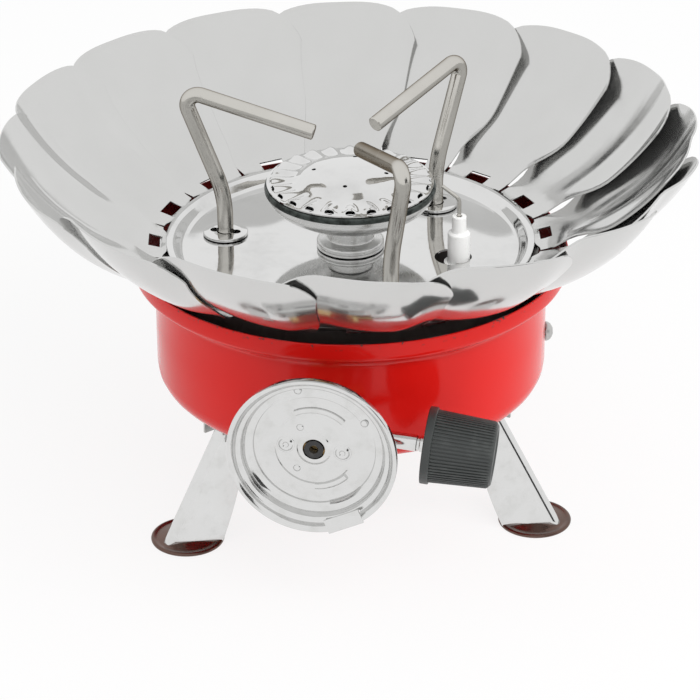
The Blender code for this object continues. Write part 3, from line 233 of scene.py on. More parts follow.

# %% [markdown]
# ## Working metals
# The rods are drawn wire, satin and a little warm, darker where they turn away from the eye, with the fine lines
# that drawing leaves. Brackets, clips and screws are plain steel, the drum is darkened as painted shade for the
# gaps where it shows, the feet are darkened to brown as a painted reflection of the bowl's shaded underside, the
# ring in the burner is blued by heat, and the jet parts are brass with the rings of the turning tool.

# %% Drawn wire
wire_steel = Finish("drawn_wire", (0.55, 0.535, 0.50), 1.0, 0.26, made_at=True, Specular_Tint=(0.20, 0.16, 0.12))
lines = wire_steel.cloud((2600.0, 2600.0, 90.0), detail=3.0)
spots = wire_steel.between(wire_steel.cloud(300.0, detail=4.0), 0.56, 0.74)
tone = wire_steel.cloud(70.0)
wire_steel.look(tone, (0.66, 0.645, 0.61), (0.52, 0.505, 0.47), 0.13 + lines * 0.10 + spots * 0.14)
wire_steel.bump((lines, 0.22, 0.00005), (spots, 0.10, 0.00003))

# %% Plain steel of hidden fittings
plain_steel = Finish("plain_steel", (0.58, 0.58, 0.57), 1.0, 0.34)
film = plain_steel.cloud(180.0, detail=5.0, roughness=0.6)
plain_steel.look(film, (0.62, 0.62, 0.61), (0.47, 0.465, 0.45), 0.24 + film * 0.22)
plain_steel.bump((film, 0.15, 0.00004))

# %% Drum steel darkened as painted shade for the gaps where the drum shows
sooty_steel = Finish("sooty_steel", (0.14, 0.135, 0.13), 0.8, 0.5)
drum_mottle = sooty_steel.cloud(150.0, detail=5.0, roughness=0.6)
sooty_steel.look(drum_mottle, (0.20, 0.19, 0.18), (0.08, 0.075, 0.07), 0.38 + drum_mottle * 0.25)
sooty_steel.bump((drum_mottle, 0.2, 0.00004))

# %% Feet: steel darkened to brown, a painted reflection of the bowl's shaded underside
browned_steel = Finish("browned_steel", (0.14, 0.09, 0.075), 0.95, 0.16)
foot_mottle = browned_steel.cloud(120.0, detail=4.0)
browned_steel.look(foot_mottle, (0.17, 0.105, 0.085), (0.10, 0.065, 0.055), 0.13 + foot_mottle * 0.14)
browned_steel.bump((browned_steel.cloud(320.0, detail=2.0), 0.15, 0.00006))

# %% Heat-blued ring
blued_steel = Finish("heat_blued_steel", (0.055, 0.065, 0.06), 0.75, 0.46)
soot = blued_steel.between(blued_steel.cloud(260.0, detail=5.0, roughness=0.65), 0.42, 0.66)
blued_steel.look(soot, (0.075, 0.088, 0.082), (0.028, 0.032, 0.030), 0.36 + soot * 0.3)
blued_steel.bump((blued_steel.cloud(900.0, detail=2.0), 0.25, 0.00005))

# %% Turned brass
turned_brass = Finish("turned_brass", (0.72, 0.52, 0.24), 1.0, 0.24)
dull = turned_brass.cloud(210.0, detail=4.0)
turned_brass.look(dull, (0.78, 0.58, 0.28), (0.55, 0.38, 0.17), 0.16 + dull * 0.2)
turned_brass.bump((turned_brass.cloud((200.0, 200.0, 4200.0)), 0.12, 0.00003))
print("wire, plain, sooty, browned and blued steel, and brass")

# %% [markdown]
# ## What isn't metal
# The spark electrode stands in white glazed ceramic, the knob is moulded from charcoal plastic with the fine
# grain of its mould, and the seal and the lead are black rubber.

# %% Ceramic
glazed_ceramic = Finish("white_ceramic_glaze", (0.88, 0.875, 0.855), 0.0, 0.22, Coat_Weight=0.2)
fleck = glazed_ceramic.between(glazed_ceramic.cloud(1500.0, detail=1.0), 0.68, 0.74)
blush = glazed_ceramic.cloud(140.0)
glaze = glazed_ceramic.blend(blush, (1.0, 1.0, 0.99), (0.96, 0.955, 0.94))
glazed_ceramic.look(fleck * 0.35, glaze, (0.68, 0.64, 0.58), 0.18 + blush * 0.12)
glazed_ceramic.bump((glazed_ceramic.cloud(700.0, detail=1.0), 0.06, 0.00004))

# %% Knob plastic
knob_plastic = Finish("charcoal_knob_plastic", (0.036, 0.046, 0.046), 0.0, 0.42, made_at=True)
pits = knob_plastic.cloud(2600.0, detail=2.0)
rubbed = knob_plastic.between(knob_plastic.cloud(190.0, detail=4.0), 0.50, 0.74)
knob_plastic.look(rubbed, (0.036, 0.040, 0.039), (0.060, 0.065, 0.063), 0.36 + rubbed * 0.14 + pits * 0.06)
knob_plastic.bump((pits, 0.22, 0.00003))

# %% Black rubber
black_rubber = Finish("black_rubber", (0.022, 0.022, 0.023), 0.0, 0.45)
dust = black_rubber.between(black_rubber.cloud(320.0, detail=5.0), 0.52, 0.76)
black_rubber.look(dust, (0.020, 0.020, 0.021), (0.055, 0.053, 0.050), 0.30 + dust * 0.28)
black_rubber.bump((black_rubber.cloud(1800.0, detail=1.0), 0.15, 0.00003))
print(len([m for m in bpy.data.materials if m.use_nodes]), "materials in the file")

# %% [markdown]
# ## Tools for shapes
# Most of the stove is turned or spun, so one helper spins an outline round the Z axis. An outline is given in
# millimetres as radius, height and, where the metal is bent or a tool has broken the edge, a fillet: real edges
# catch a thin line of light, and a sharp one never does. A piece keeps its first coordinates as the attribute
# made_at, for its finish.

# %% Outlines with fillets
def outline_of(points, closed=True, steps=3):
    """Points in millimetres as (radius, height) or (radius, height, fillet), back as metres."""
    plain = [Vector((point[0], point[1])) for point in points]
    made = []
    for i, point in enumerate(points):
        fillet = point[2] if len(point) > 2 else 0.0
        if fillet == 0.0 or (not closed and i in (0, len(points) - 1)):
            made.append(plain[i])
            continue
        back = plain[i - 1] - plain[i]
        on = plain[(i + 1) % len(plain)] - plain[i]
        back *= min(fillet / back.length, 0.48)
        on *= min(fillet / on.length, 0.48)
        for step in range(steps + 1):
            t = step / steps
            made.append(plain[i] + back * (1 - t) ** 2 + on * t ** 2)
    return [(point.x / 1000, point.y / 1000) for point in made]


# %% From a loose shape to an object in place
def loose(name, mesh=None):
    """A new object in the scene, empty unless a mesh is given."""
    piece = bpy.data.objects.new(name, mesh or bpy.data.meshes.new(name))
    bpy.context.scene.collection.objects.link(piece)
    return piece


def note_places(piece, placed=None):
    """Keep the coordinates that the piece had on the bench, for finishes that follow it."""
    mesh = piece.data
    back = placed.inverted() if placed is not None else Matrix()
    if "made_at" in mesh.attributes:
        mesh.attributes.remove(mesh.attributes["made_at"])
    noted = mesh.attributes.new("made_at", "FLOAT_VECTOR", "POINT")
    for vertex, item in zip(mesh.vertices, noted.data):
        item.vector = back @ vertex.co
    return piece


def from_shape(name, shape, finish, placed=None, sharp=38.0):
    """Close the seams of a shape and make an object of it."""
    bmesh.ops.remove_doubles(shape, verts=shape.verts, dist=0.000002)
    bmesh.ops.recalc_face_normals(shape, faces=shape.faces)
    mesh = bpy.data.meshes.new(name)
    shape.to_mesh(mesh)
    shape.free()
    if placed is not None:
        mesh.transform(placed)
    mesh.shade_smooth()
    mesh.set_sharp_from_angle(angle=radians(sharp))
    mesh.materials.append(finish.material)
    return loose(name, mesh)


# %% Faces between rows of points
def skin(shape, rows, loop=True, holes=()):
    """Join rows of points; a row of one point is a pole, and loop joins the ends of each row."""
    for number, (first, second) in enumerate(zip(rows[:-1], rows[1:])):
        count = max(len(first), len(second))
        for i in range(count if loop else count - 1):
            j = (i + 1) % count
            corners = dict.fromkeys((first[i % len(first)], first[j % len(first)],
                                     second[j % len(second)], second[i % len(second)]))
            if len(corners) > 2 and (number, i) not in holes:
                shape.faces.new(list(corners))


# %% Turned and spun pieces
def spun(name, points, finish, steps=96, closed=True, placed=None, arc=3):
    """Spin an outline in millimetres round Z; a radius of nought makes a pole."""
    shape = bmesh.new()
    rings = []
    for radius, height in outline_of(points, closed, arc):
        count = steps if radius > 1e-7 else 1
        rings.append([shape.verts.new((radius * cos(2 * pi * i / steps), radius * sin(2 * pi * i / steps), height))
                      for i in range(count)])
    skin(shape, rings + rings[:1] if closed else rings)
    return note_places(from_shape(name, shape, finish, placed), placed)


# %% Bars and wires
def bar(name, path, radius, finish, sides, chamfer, placed=None):
    """A round bar along a path; made_at holds it straightened, with Z along it."""
    path = [Vector(point) for point in path]
    shape = bmesh.new()
    straight = shape.verts.layers.float_vector.new("made_at")
    directions = [(path[min(i + 1, len(path) - 1)] - path[max(i - 1, 0)]).normalized() for i in range(len(path))]
    across = directions[0].orthogonal().normalized()
    stops = [(place, direction, radius) for place, direction in zip(path, directions)]
    stops[0] = (path[0] + directions[0] * chamfer, directions[0], radius)
    stops[-1] = (path[-1] - directions[-1] * chamfer, directions[-1], radius)
    stops = [(path[0], directions[0], radius - chamfer), *stops, (path[-1], directions[-1], radius - chamfer)]
    rings, along, last = [], 0.0, stops[0][0]
    for place, direction, size in stops:
        along += (place - last).length
        last = place
        across = (across - direction * across.dot(direction)).normalized()
        up = direction.cross(across)
        ring = []
        for i in range(sides):
            angle = 2 * pi * i / sides
            vertex = shape.verts.new(place + (across * cos(angle) + up * sin(angle)) * size)
            vertex[straight] = (size * cos(angle), size * sin(angle), along)
            ring.append(vertex)
        rings.append(ring)
    skin(shape, rings)
    shape.faces.new(list(reversed(rings[0])))
    shape.faces.new(rings[-1])
    return from_shape(name, shape, finish, placed)


def rounded_bend(before, corner, after, radius, steps):
    """Replace a corner of a path by an arc that touches both straight stretches."""
    before, corner, after = Vector(before), Vector(corner), Vector(after)
    into, out = (before - corner).normalized(), (after - corner).normalized()
    half = into.angle(out) / 2
    middle = corner + (into + out).normalized() * (radius / sin(half))
    first = corner + into * (radius / tan(half)) - middle
    last = corner + out * (radius / tan(half)) - middle
    axis = first.cross(last).normalized()
    return [middle + Matrix.Rotation(first.angle(last) * i / steps, 3, axis) @ first for i in range(steps + 1)]


# %% Modifiers made real, and the way onto a body
def made_real(piece, *helpers, sharp=38.0):
    """Turn what the modifiers show into a plain mesh, and clear away what they used."""
    bpy.context.view_layer.update()
    shown = piece.evaluated_get(bpy.context.evaluated_depsgraph_get())
    mesh = bpy.data.meshes.new_from_object(shown)
    piece.modifiers.clear()
    piece.data = mesh
    mesh.name = piece.name
    mesh.set_sharp_from_angle(angle=radians(sharp))
    for helper in helpers:
        bpy.data.objects.remove(helper, do_unlink=True)
    return piece


def carved(piece, *cutters):
    for cutter in cutters:
        cutter.hide_render = True
        cut = piece.modifiers.new("Cut", "BOOLEAN")
        cut.operation = "DIFFERENCE"
        cut.solver = "EXACT"
        cut.object = cutter
    return made_real(piece, *cutters)


def sheeted(piece, thickness, edge, segments, corner, sharp):
    """Give a surface its sheet thickness, and break the edges that are sharper than the corner."""
    sheet = piece.modifiers.new("Sheet", "SOLIDIFY")
    sheet.thickness, sheet.offset = thickness, 0.0
    bevel = piece.modifiers.new("Edge", "BEVEL")
    bevel.width, bevel.segments = edge, segments
    bevel.limit_method, bevel.angle_limit = "ANGLE", radians(corner)
    return made_real(piece, sharp=sharp)


def put_on(piece, body, slot, *stands_for):
    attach(piece, body)
    if stands_for:
        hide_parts(*stands_for)
    print(piece.name, "rides on", body, "with", len(piece.data.polygons), "faces")
    return piece


# %% Places on the stove
def turned_to(azimuth, place=(0.0, 0.0, 0.0)):
    return Matrix.Translation(place) @ Matrix.Rotation(azimuth, 4, "Z")


def away(azimuth, radius, height=0.0):
    return Vector((radius * cos(azimuth), radius * sin(azimuth), height))


PLATE_TOP = 0.0840
ELECTRODE, ELECTRODE_HOLE = (0.0342, -0.0077), (0.0324, -0.0088)
print("tools ready")

# %% [markdown]
# ## Rules for what repeats
# Geometry Nodes hold the rules. The first turns a blank to its place in a ring and gives one object for each
# body, which suits the petals. The second sets copies of a blank all round an axis and joins them to the piece
# that carries them: ridges of the knob, ports of the cap, screws of the wall. The third bends a plain ring into
# flutes. Two more follow with the connector. What a rule makes becomes a plain mesh.

# %% A tree with named inputs
class Rule(Bench):
    """A Geometry Nodes tree with named inputs."""

    def __init__(self, name, **inputs):
        tree = bpy.data.node_groups.new(name, "GeometryNodeTree")
        super().__init__(tree)
        for key, kind in {"Geometry": "Geometry", **inputs, "Finish": "Material"}.items():
            tree.interface.new_socket(key, in_out="INPUT", socket_type="NodeSocket" + kind)
        tree.interface.new_socket("Geometry", in_out="OUTPUT", socket_type="NodeSocketGeometry")
        self.given = tree.nodes.new("NodeGroupInput")
        self.result = tree.nodes.new("NodeGroupOutput")

    def input(self, name):
        return Value(self, self.given.outputs[name])

    def blank(self):
        """The blank as one instance."""
        return self.node("GeometryNodeObjectInfo", {"Object": self.input("Blank"), "As Instance": True},
                         out="Geometry", transform_space="ORIGINAL")

    def turn(self, number):
        """The rotation to a numbered place in the ring."""
        angle = number / self.input("Count") * (2 * pi) + self.input("Phase")
        return self.node("ShaderNodeCombineXYZ", {"Z": angle})

    def end(self, geometry):
        real = self.node("GeometryNodeRealizeInstances", {0: geometry})
        painted = self.node("GeometryNodeSetMaterial", {"Geometry": real, "Material": self.input("Finish")})
        self.tree.links.new(painted.socket, self.result.inputs[0])

    def use_on(self, piece, finish, keep_blank=False, **values):
        """Shape the piece by the rule, and clear the blank away unless it is kept."""
        values["Finish"] = finish.material
        modifier = piece.modifiers.new(self.tree.name, "NODES")
        modifier.node_group = self.tree
        for item in self.tree.interface.items_tree:
            if item.in_out == "INPUT" and item.name in values:
                modifier[item.identifier] = values[item.name]
        return made_real(piece, *([values["Blank"]] if "Blank" in values and not keep_blank else []))


# %% Rule one: a blank turned to its place in a ring
one_in_ring = Rule("one_in_ring", Blank="Object", Number="Int", Count="Int", Phase="Float")
one_in_ring.end(one_in_ring.node("GeometryNodeRotateInstances", {
    "Instances": one_in_ring.blank(), "Rotation": one_in_ring.turn(one_in_ring.input("Number")),
    "Pivot Point": (0.0, 0.0, 0.0), "Local Space": False}))

# %% Rule two: copies of a blank all round an axis
all_round = Rule("all_round", Blank="Object", Count="Int", Phase="Float")
axis_points = all_round.node("GeometryNodeMeshLine", {"Count": all_round.input("Count"),
                                                     "Offset": (0.0, 0.0, 0.0)}, mode="OFFSET")
copies = all_round.node("GeometryNodeInstanceOnPoints", {
    "Points": axis_points, "Instance": all_round.blank(),
    "Rotation": all_round.turn(all_round.node("GeometryNodeInputIndex"))})
all_round.end(all_round.node("GeometryNodeJoinGeometry", {0: [all_round.input("Geometry"), copies]}))

# %% Rule three: a plain ring bent into flutes
fluted = Rule("fluted", Flutes="Int", Rise="Float", Start="Float", End="Float", Lip="Float", Edge="Float")
x, y, z = fluted.parts(fluted.node("GeometryNodeInputPosition"))
reach = (x * x + y * y).maths("SQRT")
crest = (y.maths("ARCTAN2", x) * fluted.input("Flutes")).maths("COSINE") * 0.5 + 0.5
grown = fluted.between(reach, fluted.input("Start"), fluted.input("End")) * crest
grown = grown * (1 - fluted.between(reach, fluted.input("Lip"), fluted.input("Edge")))
offset = fluted.node("ShaderNodeCombineXYZ", {"Z": grown * fluted.input("Rise")})
fluted.end(fluted.node("GeometryNodeSetPosition", {"Geometry": fluted.input("Geometry"), "Offset": offset}))
print("rules so far:", [group.name for group in bpy.data.node_groups])

# %% [markdown]
# ## The bowl
# The bowl is one outline with fillets: a wall that rounds into the bottom, a collar that widens at the mouth,
# and a large draught opening below. It is spun in many steps, because its edge shows against the white floor.
# The button and the gas line pass through holes in its wall.

# %% Spin the bowl
wall_outside = [(69.2, 84.0, 0.3), (69.2, 78.5, 1.1), (62.5, 74.0, 1.4), (62.5, 62.0), (62.5, 46.5),
                (62.2, 44.2), (61.2, 42.1), (59.7, 40.4), (57.6, 39.2), (54.5, 38.5), (46.0, 38.5, 0.8),
                (45.0, 39.0, 0.8), (32.0, 39.0, 0.8), (31.0, 38.5, 0.8), (25.5, 38.5, 0.3)]
wall_inside = [(25.5, 39.3, 0.3), (30.8, 39.3, 0.8), (31.8, 39.8, 0.8), (45.2, 39.8, 0.8), (46.2, 39.3, 0.8),
               (54.5, 39.3), (57.2, 40.0), (59.1, 41.0), (60.5, 42.5), (61.4, 44.4), (61.7, 46.5), (61.7, 62.0),
               (61.7, 74.4, 1.2), (68.4, 78.9, 1.0), (68.4, 84.0, 0.3)]
bowl = spun("red_bowl", wall_outside + wall_inside, enamel, steps=144)


# %% Holes in its wall
def drill(name, radius, start, end, sides=48):
    """A round cutter between two points."""
    start, end = Vector(start), Vector(end)
    shape = bmesh.new()
    bmesh.ops.create_cone(shape, cap_ends=True, segments=sides, radius1=radius, radius2=radius,
                          depth=(end - start).length)
    turn = (end - start).to_track_quat("Z", "Y").to_matrix().to_4x4()
    return from_shape(name, shape, plain_steel, Matrix.Translation((start + end) / 2) @ turn)


BUTTON_AZIMUTH = radians(40.0)
BUTTON_HEIGHT = 0.0580
REGULATOR = turned_to(radians(-9.0), (-0.01212, -0.08916, 0.0566)) @ Matrix.Rotation(radians(5.5), 4, "Y")
carved(bowl,
       drill("button_drill", 0.0043, away(BUTTON_AZIMUTH, 0.055, BUTTON_HEIGHT),
             away(BUTTON_AZIMUTH, 0.070, BUTTON_HEIGHT)),
       drill("gas_line_drill", 0.0038, REGULATOR @ Vector((0, 0.020, 0)), REGULATOR @ Vector((0, 0.040, 0))))
put_on(bowl, "base", "red_paint", "body_shell")

# %% [markdown]
# ## The mirror plate
# A shallow polished plate with a raised edge closes the bowl. Rings just inside its bend keep the flat truly
# flat: without them the smooth shading of the bend would creep over the whole mirror. The plate is drilled for
# the electrode's ceramic and, under the washers, for the rods.

# %% Spin and drill the plate
plate = spun("mirror_plate", [
    (58.5, 87.4, 0.2), (58.5, 86.8, 0.15), (56.9, 86.8, 0.5), (54.4, 83.4, 0.5), (53.4, 83.4), (6.7, 83.4),
    (6.7, 84.0), (9.0, 84.0), (30.0, 84.0), (52.4, 84.0), (53.8, 84.0, 1.1), (56.1, 87.4, 0.9)],
    plate_steel, steps=144, arc=5)
SUPPORT_AZIMUTHS = (radians(167.4), radians(47.4), radians(-72.6))
SUPPORT_BASE = 0.0410
low, high = PLATE_TOP - 0.003, PLATE_TOP + 0.003
drills = [drill("electrode_drill", 0.0059, (*ELECTRODE_HOLE, low), (*ELECTRODE_HOLE, high))]
for number, azimuth in enumerate(SUPPORT_AZIMUTHS, 1):
    drills.append(drill(f"rod_drill_{number}", 0.0042, away(azimuth, SUPPORT_BASE, low),
                        away(azimuth, SUPPORT_BASE, high), 32))
put_on(carved(plate, *drills), "base", "polished_steel", "top_plate")

# %% [markdown]
# ## The petals of the windshield
# Sixteen polished petals hook on a bead round the plate and open like a flower. All follow one rule: the middle
# line is an arc that steepens outwards, the width keeps to the line shared with the neighbour and then laps over
# it, and the sheet is cupped across and tilted so that one edge lies inside the next petal. Both edges bend
# toward the neighbour, so that the lap looks narrow. The blank is made once by that rule, as a fine grid with a
# slot and a curled hook, and rule one turns it to its sixteen places.

# %% Measures of a petal
PETALS = 16
PETAL_PHASE = radians(2.06)
HINGE_RADIUS, HINGE_HEIGHT = 0.0591, 0.08465
PETAL_START, PETAL_START_HEIGHT = 0.0597, 0.0862
RIM_RADIUS, RIM_HEIGHT = 0.1087, 0.1246
START_SLOPE = radians(14.0)
RISE, RUN = RIM_HEIGHT - PETAL_START_HEIGHT, RIM_RADIUS - PETAL_START
PETAL_TURN = 2 * (atan2(RISE, RUN) - START_SLOPE)
PETAL_ARC = hypot(RISE, RUN) / (2 * sin(PETAL_TURN / 2))
PETAL_LENGTH = PETAL_ARC * PETAL_TURN
SLOT_HALF, SLOT_LENGTH, HOOK_RADIUS = 0.0040, 0.0045, 0.00155
LAP, FOOT_GAP, CUP_RADIUS, TILT = 0.0048, 0.0006, 0.061, radians(7.0)
LIP_OF_UPPER_EDGE, LIP_OF_LOWER_EDGE = 0.0032, -0.0015
TIP_ROUNDING, TIP_CORNER = 0.0075, 0.008
print("a petal is", round(1000 * PETAL_LENGTH, 1), "mm long on an arc of radius", round(1000 * PETAL_ARC), "mm")


# %% The rule of a petal
def eased(value):
    value = min(max(value, 0.0), 1.0)
    return value * value * (3 - 2 * value)


def half_width(along):
    slope = START_SLOPE + max(along, 0.0) / PETAL_ARC
    out = PETAL_START + PETAL_ARC * (sin(slope) - sin(START_SLOPE))
    return out * tan(pi / PETALS) + LAP * eased(along / 0.030) - FOOT_GAP


def petal_place(along, side):
    half, far = half_width(along), max(along / PETAL_LENGTH, 0.0) ** 3
    past = min(max(abs(side) - half + TIP_CORNER, 0.0), TIP_CORNER)
    along -= far * (TIP_ROUNDING * (abs(side) / half) ** 3 + TIP_CORNER - sqrt(TIP_CORNER ** 2 - past ** 2))
    slope, x, z = 0.0, PETAL_START + along, PETAL_START_HEIGHT
    if along > 0:
        slope = START_SLOPE + along / PETAL_ARC
        x = PETAL_START + PETAL_ARC * (sin(slope) - sin(START_SLOPE))
        z = PETAL_START_HEIGHT + PETAL_ARC * (cos(START_SLOPE) - cos(slope))
    lift = eased(along / 0.016) * side ** 2 / (2 * CUP_RADIUS) - side * tan(TILT * eased(along / 0.012))
    lip = (LIP_OF_UPPER_EDGE if side < 0 else LIP_OF_LOWER_EDGE) * eased((along - 0.008) / 0.018)
    lift -= lip * eased((abs(side) / half - 0.5) / 0.5)
    return Vector((x - sin(slope) * lift, side, z + cos(slope) * lift))


# %% The blank, a grid with a slot and a hook
OUTER_SHARES = (0.10, 0.20, 0.32, 0.44, 0.56, 0.67, 0.77, 0.855, 0.92, 0.963, 0.99, 1.0)
INNER_SIDES = (-SLOT_HALF, -SLOT_HALF / 2, 0.0, SLOT_HALF / 2, SLOT_HALF)
ROWS, HOOK_STEPS, HOOK_SWEEP = 22, 9, radians(165.0)


def sides_at(along):
    outer = [SLOT_HALF + (half_width(along) - SLOT_HALF) * share for share in OUTER_SHARES]
    return [-side for side in reversed(outer)] + list(INNER_SIDES) + outer


def petal_blank():
    rest = [SLOT_LENGTH + (PETAL_LENGTH - SLOT_LENGTH) * step / ROWS for step in range(1, ROWS + 1)]
    alongs = [0.0, SLOT_LENGTH / 2, SLOT_LENGTH] + rest
    shape = bmesh.new()
    root = []
    for side in sides_at(0.0):
        edge = eased((abs(side) / half_width(0.0) - 0.55) / 0.35)
        root.append(shape.verts.new(petal_place(-0.0015 + 0.0013 * edge, side)))
    rows = [root] + [[shape.verts.new(petal_place(along, side)) for side in sides_at(along)] for along in alongs]
    first, across = len(OUTER_SHARES), len(INNER_SIDES)
    slot = [(row, first + i) for row in (1, 2) for i in range(across - 1)]
    skin(shape, rows, loop=False, holes=slot)
    hook = [rows[1][first:first + across]]
    start = pi / 2 - asin((PETAL_START - HINGE_RADIUS) / HOOK_RADIUS)
    for step in range(1, HOOK_STEPS + 1):
        angle = start - HOOK_SWEEP * step / HOOK_STEPS
        x, z = HINGE_RADIUS + HOOK_RADIUS * cos(angle), HINGE_HEIGHT + HOOK_RADIUS * sin(angle)
        hook.append([shape.verts.new((x, side * 0.9, z)) for side in INNER_SIDES])
    skin(shape, hook, loop=False)
    return from_shape("petal_blank", shape, petal_steel)


# %% Sheet thickness and broken edges
blank = note_places(sheeted(petal_blank(), 0.0006, 0.00012, 1, 55.0, sharp=38.0))

# %% Sixteen petals, one for each body
for number in range(PETALS):
    name = f"{number + 1:02d}"
    petal = loose(f"bright_petal_{name}")
    one_in_ring.use_on(petal, petal_steel, keep_blank=True, Blank=blank, Number=number, Count=PETALS,
                       Phase=PETAL_PHASE)
    put_on(petal, f"windshield_{name}", "polished_steel", f"petal_{name}")
bpy.data.objects.remove(blank, do_unlink=True)

# %% [markdown]
# ## The burner
# The burner stands on a turned neck. Its cup is pressed, a dark ring seals it, and a polished cap lies on top:
# raised in the middle with four small vents, and pressed into twenty-four flutes round it, each with a small
# port above a smooth lip. All four are outlines, and rule three bends the flutes.

# %% Neck and cup
neck = spun("burner_neck_turned", [
    (7.3, 90.6, 0.3), (7.2, 88.6), (7.4, 87.2, 0.4),
    (10.3, 86.8, 0.4), (10.7, 86.3, 0.3), (10.7, 85.7, 0.15), (10.2, 85.5, 0.1), (10.2, 85.2, 0.1),
    (10.7, 85.0, 0.15), (10.7, 84.3, 0.2), (6.7, 84.3), (6.7, 90.6)], satin_steel, steps=72)
put_on(neck, "base", "polished_steel", "burner_neck")
cup_side = [(7.3 + 19.2 * sin(pi / 2 * share) ** 1.1, 103.8 - 12.9 * (1 - share) ** 0.9)
            for share in (1.0, 0.93, 0.85, 0.76, 0.67, 0.58, 0.49, 0.40, 0.31, 0.22, 0.13, 0.06, 0.0)]
cup_inside = [(radius - 0.8, level + 0.48) for radius, level in reversed(cup_side[1:-1])]
cup = spun("burner_cup_pressed", cup_side + [(6.7, 90.9), (6.7, 91.7), (8.1, 91.7)] + cup_inside
           + [(25.7, 103.8)], satin_steel)
put_on(cup, "base", "polished_steel", "burner_cup")

# %% Dark ring
ring = spun("gas_port_ring", [
    (26.7, 105.6, 0.3), (27.05, 105.0, 0.3), (27.05, 103.7, 0.3), (26.6, 103.5, 0.2), (26.3, 104.1), (22.5, 104.1),
    (22.5, 105.5), (26.0, 105.5)],
    blued_steel, steps=120)
put_on(ring, "base", "blackened_steel", "burner_ring")

# %% Crimped cap with four vents
FLUTES = 24
crown = [(0.0, 110.5), (4.0, 110.4), (8.0, 110.15), (11.0, 109.85), (13.2, 109.5), (14.7, 109.05),
         (15.7, 108.5), (16.5, 107.95), (17.5, 107.5), (19.0, 107.15), (20.6, 106.95), (22.2, 106.8),
         (23.6, 106.7), (24.6, 106.6), (24.9, 106.55), (25.2, 106.5), (25.5, 106.45), (25.9, 106.4),
         (26.4, 106.3), (26.4, 105.9), (25.9, 105.75)]
crown_below = [(radius, level - 0.75) for radius, level in reversed(crown[:-3])]
cap = spun("crimped_cap", crown + crown_below, plate_steel, steps=384, closed=False)
fluted.use_on(cap, plate_steel, Flutes=FLUTES, Rise=0.0012, Start=0.0165, End=0.0242, Lip=0.0247, Edge=0.0256)
port = drill("port_blank", 0.0008, (0.0232, 0, 0.1068), (0.0254, 0, 0.1068), 20)
port.data.transform(Matrix.Diagonal((1.0, 1.9, 1.0, 1.0)))
ports = loose("port_drills")
all_round.use_on(ports, plain_steel, Blank=port, Count=FLUTES, Phase=0.0)
vents = [drill(f"vent_drill_{i}", 0.0007, away(radians(90.0 * i - 8.0), 0.0115, 0.105),
               away(radians(90.0 * i - 8.0), 0.0115, 0.112), 16) for i in range(4)]
put_on(note_places(carved(cap, ports, *vents)), "base", "polished_steel", "burner_cap")

# %% [markdown]
# ## Pot supports
# Three bent rods of drawn wire carry the pot. Each stands in a punched washer, rises, leans outward and folds
# back over the burner. The path has true arcs between its straight stretches, and the ends have the small
# chamfer that cropping and tumbling leave.

# %% Bend the rods
knee, elbow, arm_end = (0, 0, 0.0140), (0.0139, 0, 0.0493), (-0.0295, 0, 0.0380)
rod_path = [(0, 0, -0.0140), (0, 0, -0.0060)]
rod_path += rounded_bend(rod_path[-1], knee, elbow, 0.0380, 14)
rod_path += rounded_bend(knee, elbow, arm_end, 0.0038, 14)
rod_path += [(-0.0130, 0, 0.0423), (-0.0240, 0, 0.03943), arm_end]
washer_outline = [(7.2, 1.2, 0.3), (7.2, 0.3, 0.15), (2.8, 0.3), (2.8, 1.2, 0.1)]
for number, azimuth in enumerate(SUPPORT_AZIMUTHS, 1):
    foot = turned_to(azimuth, away(azimuth, SUPPORT_BASE, PLATE_TOP))
    rod = bar(f"support_rod_{number}", rod_path, 0.0025, wire_steel, sides=32, chamfer=0.0003, placed=foot)
    put_on(rod, f"support_{number}", "steel", f"pot_support_{number}")
    washer = spun(f"punched_washer_{number}", washer_outline, plate_steel, steps=64, placed=foot)
    punches = [drill(f"punch_{number}_{i}", 0.0015, foot @ Vector((side, 0, -0.001)),
                     foot @ Vector((side, 0, 0.003)), 20) for i, side in enumerate((-0.0035, 0.0035))]
    put_on(note_places(carved(washer, *punches)), "base", "polished_steel", f"support_washer_{number}")

# %% [markdown]
# ## Spark electrode
# A white ceramic sleeve comes up through the plate and narrows in one step. A thin wire leaves it, bends, and
# points at the burner, where its spark lights the gas. The sleeve's edges are soft, as glaze makes them.

# %% Ceramic and wire
electrode = Matrix.Translation((*ELECTRODE, PLATE_TOP))
ceramic = spun("ceramic_sleeve", [
    (0.9, 13.8, 0.2), (2.3, 13.8, 0.4), (2.3, 8.3, 0.2), (3.6, 8.0, 0.5), (3.6, -2.0), (4.7, -2.0, 0.1),
    (4.7, -3.0, 0.1), (3.6, -3.0), (3.6, -8.0, 0.3), (0.9, -8.0)], glazed_ceramic, steps=40, placed=electrode)
put_on(ceramic, "base", "white_ceramic", "electrode_ceramic")
inward = atan2(ELECTRODE[1], ELECTRODE[0])
bend_at = electrode @ Vector((0, 0, 0.0196))
wire_tip = bend_at - away(inward, 0.0056, -0.00392)
wire_path = [electrode @ Vector((0, 0, -0.0080)), electrode @ Vector((0, 0, 0.0140))]
wire_path += rounded_bend(wire_path[-1], bend_at, wire_tip, 0.0028, 8) + [wire_tip]
spark_wire = bar("spark_wire", wire_path, 0.0006, wire_steel, sides=14, chamfer=0.0002)
put_on(spark_wire, "base", "steel", "electrode_wire")

# %% Igniter button
button_place = turned_to(BUTTON_AZIMUTH, (0, 0, BUTTON_HEIGHT)) @ Matrix.Rotation(pi / 2, 4, "Y")
button = spun("push_button", [
    (0.0, 66.9), (1.8, 67.0), (2.9, 67.35, 0.3), (3.6, 67.5, 0.4), (4.0, 67.0, 0.3), (4.0, 51.6, 0.2),
    (0.0, 51.6)], knob_plastic, steps=48, closed=False, placed=button_place)
put_on(button, "button", "charcoal_plastic", "igniter_button")

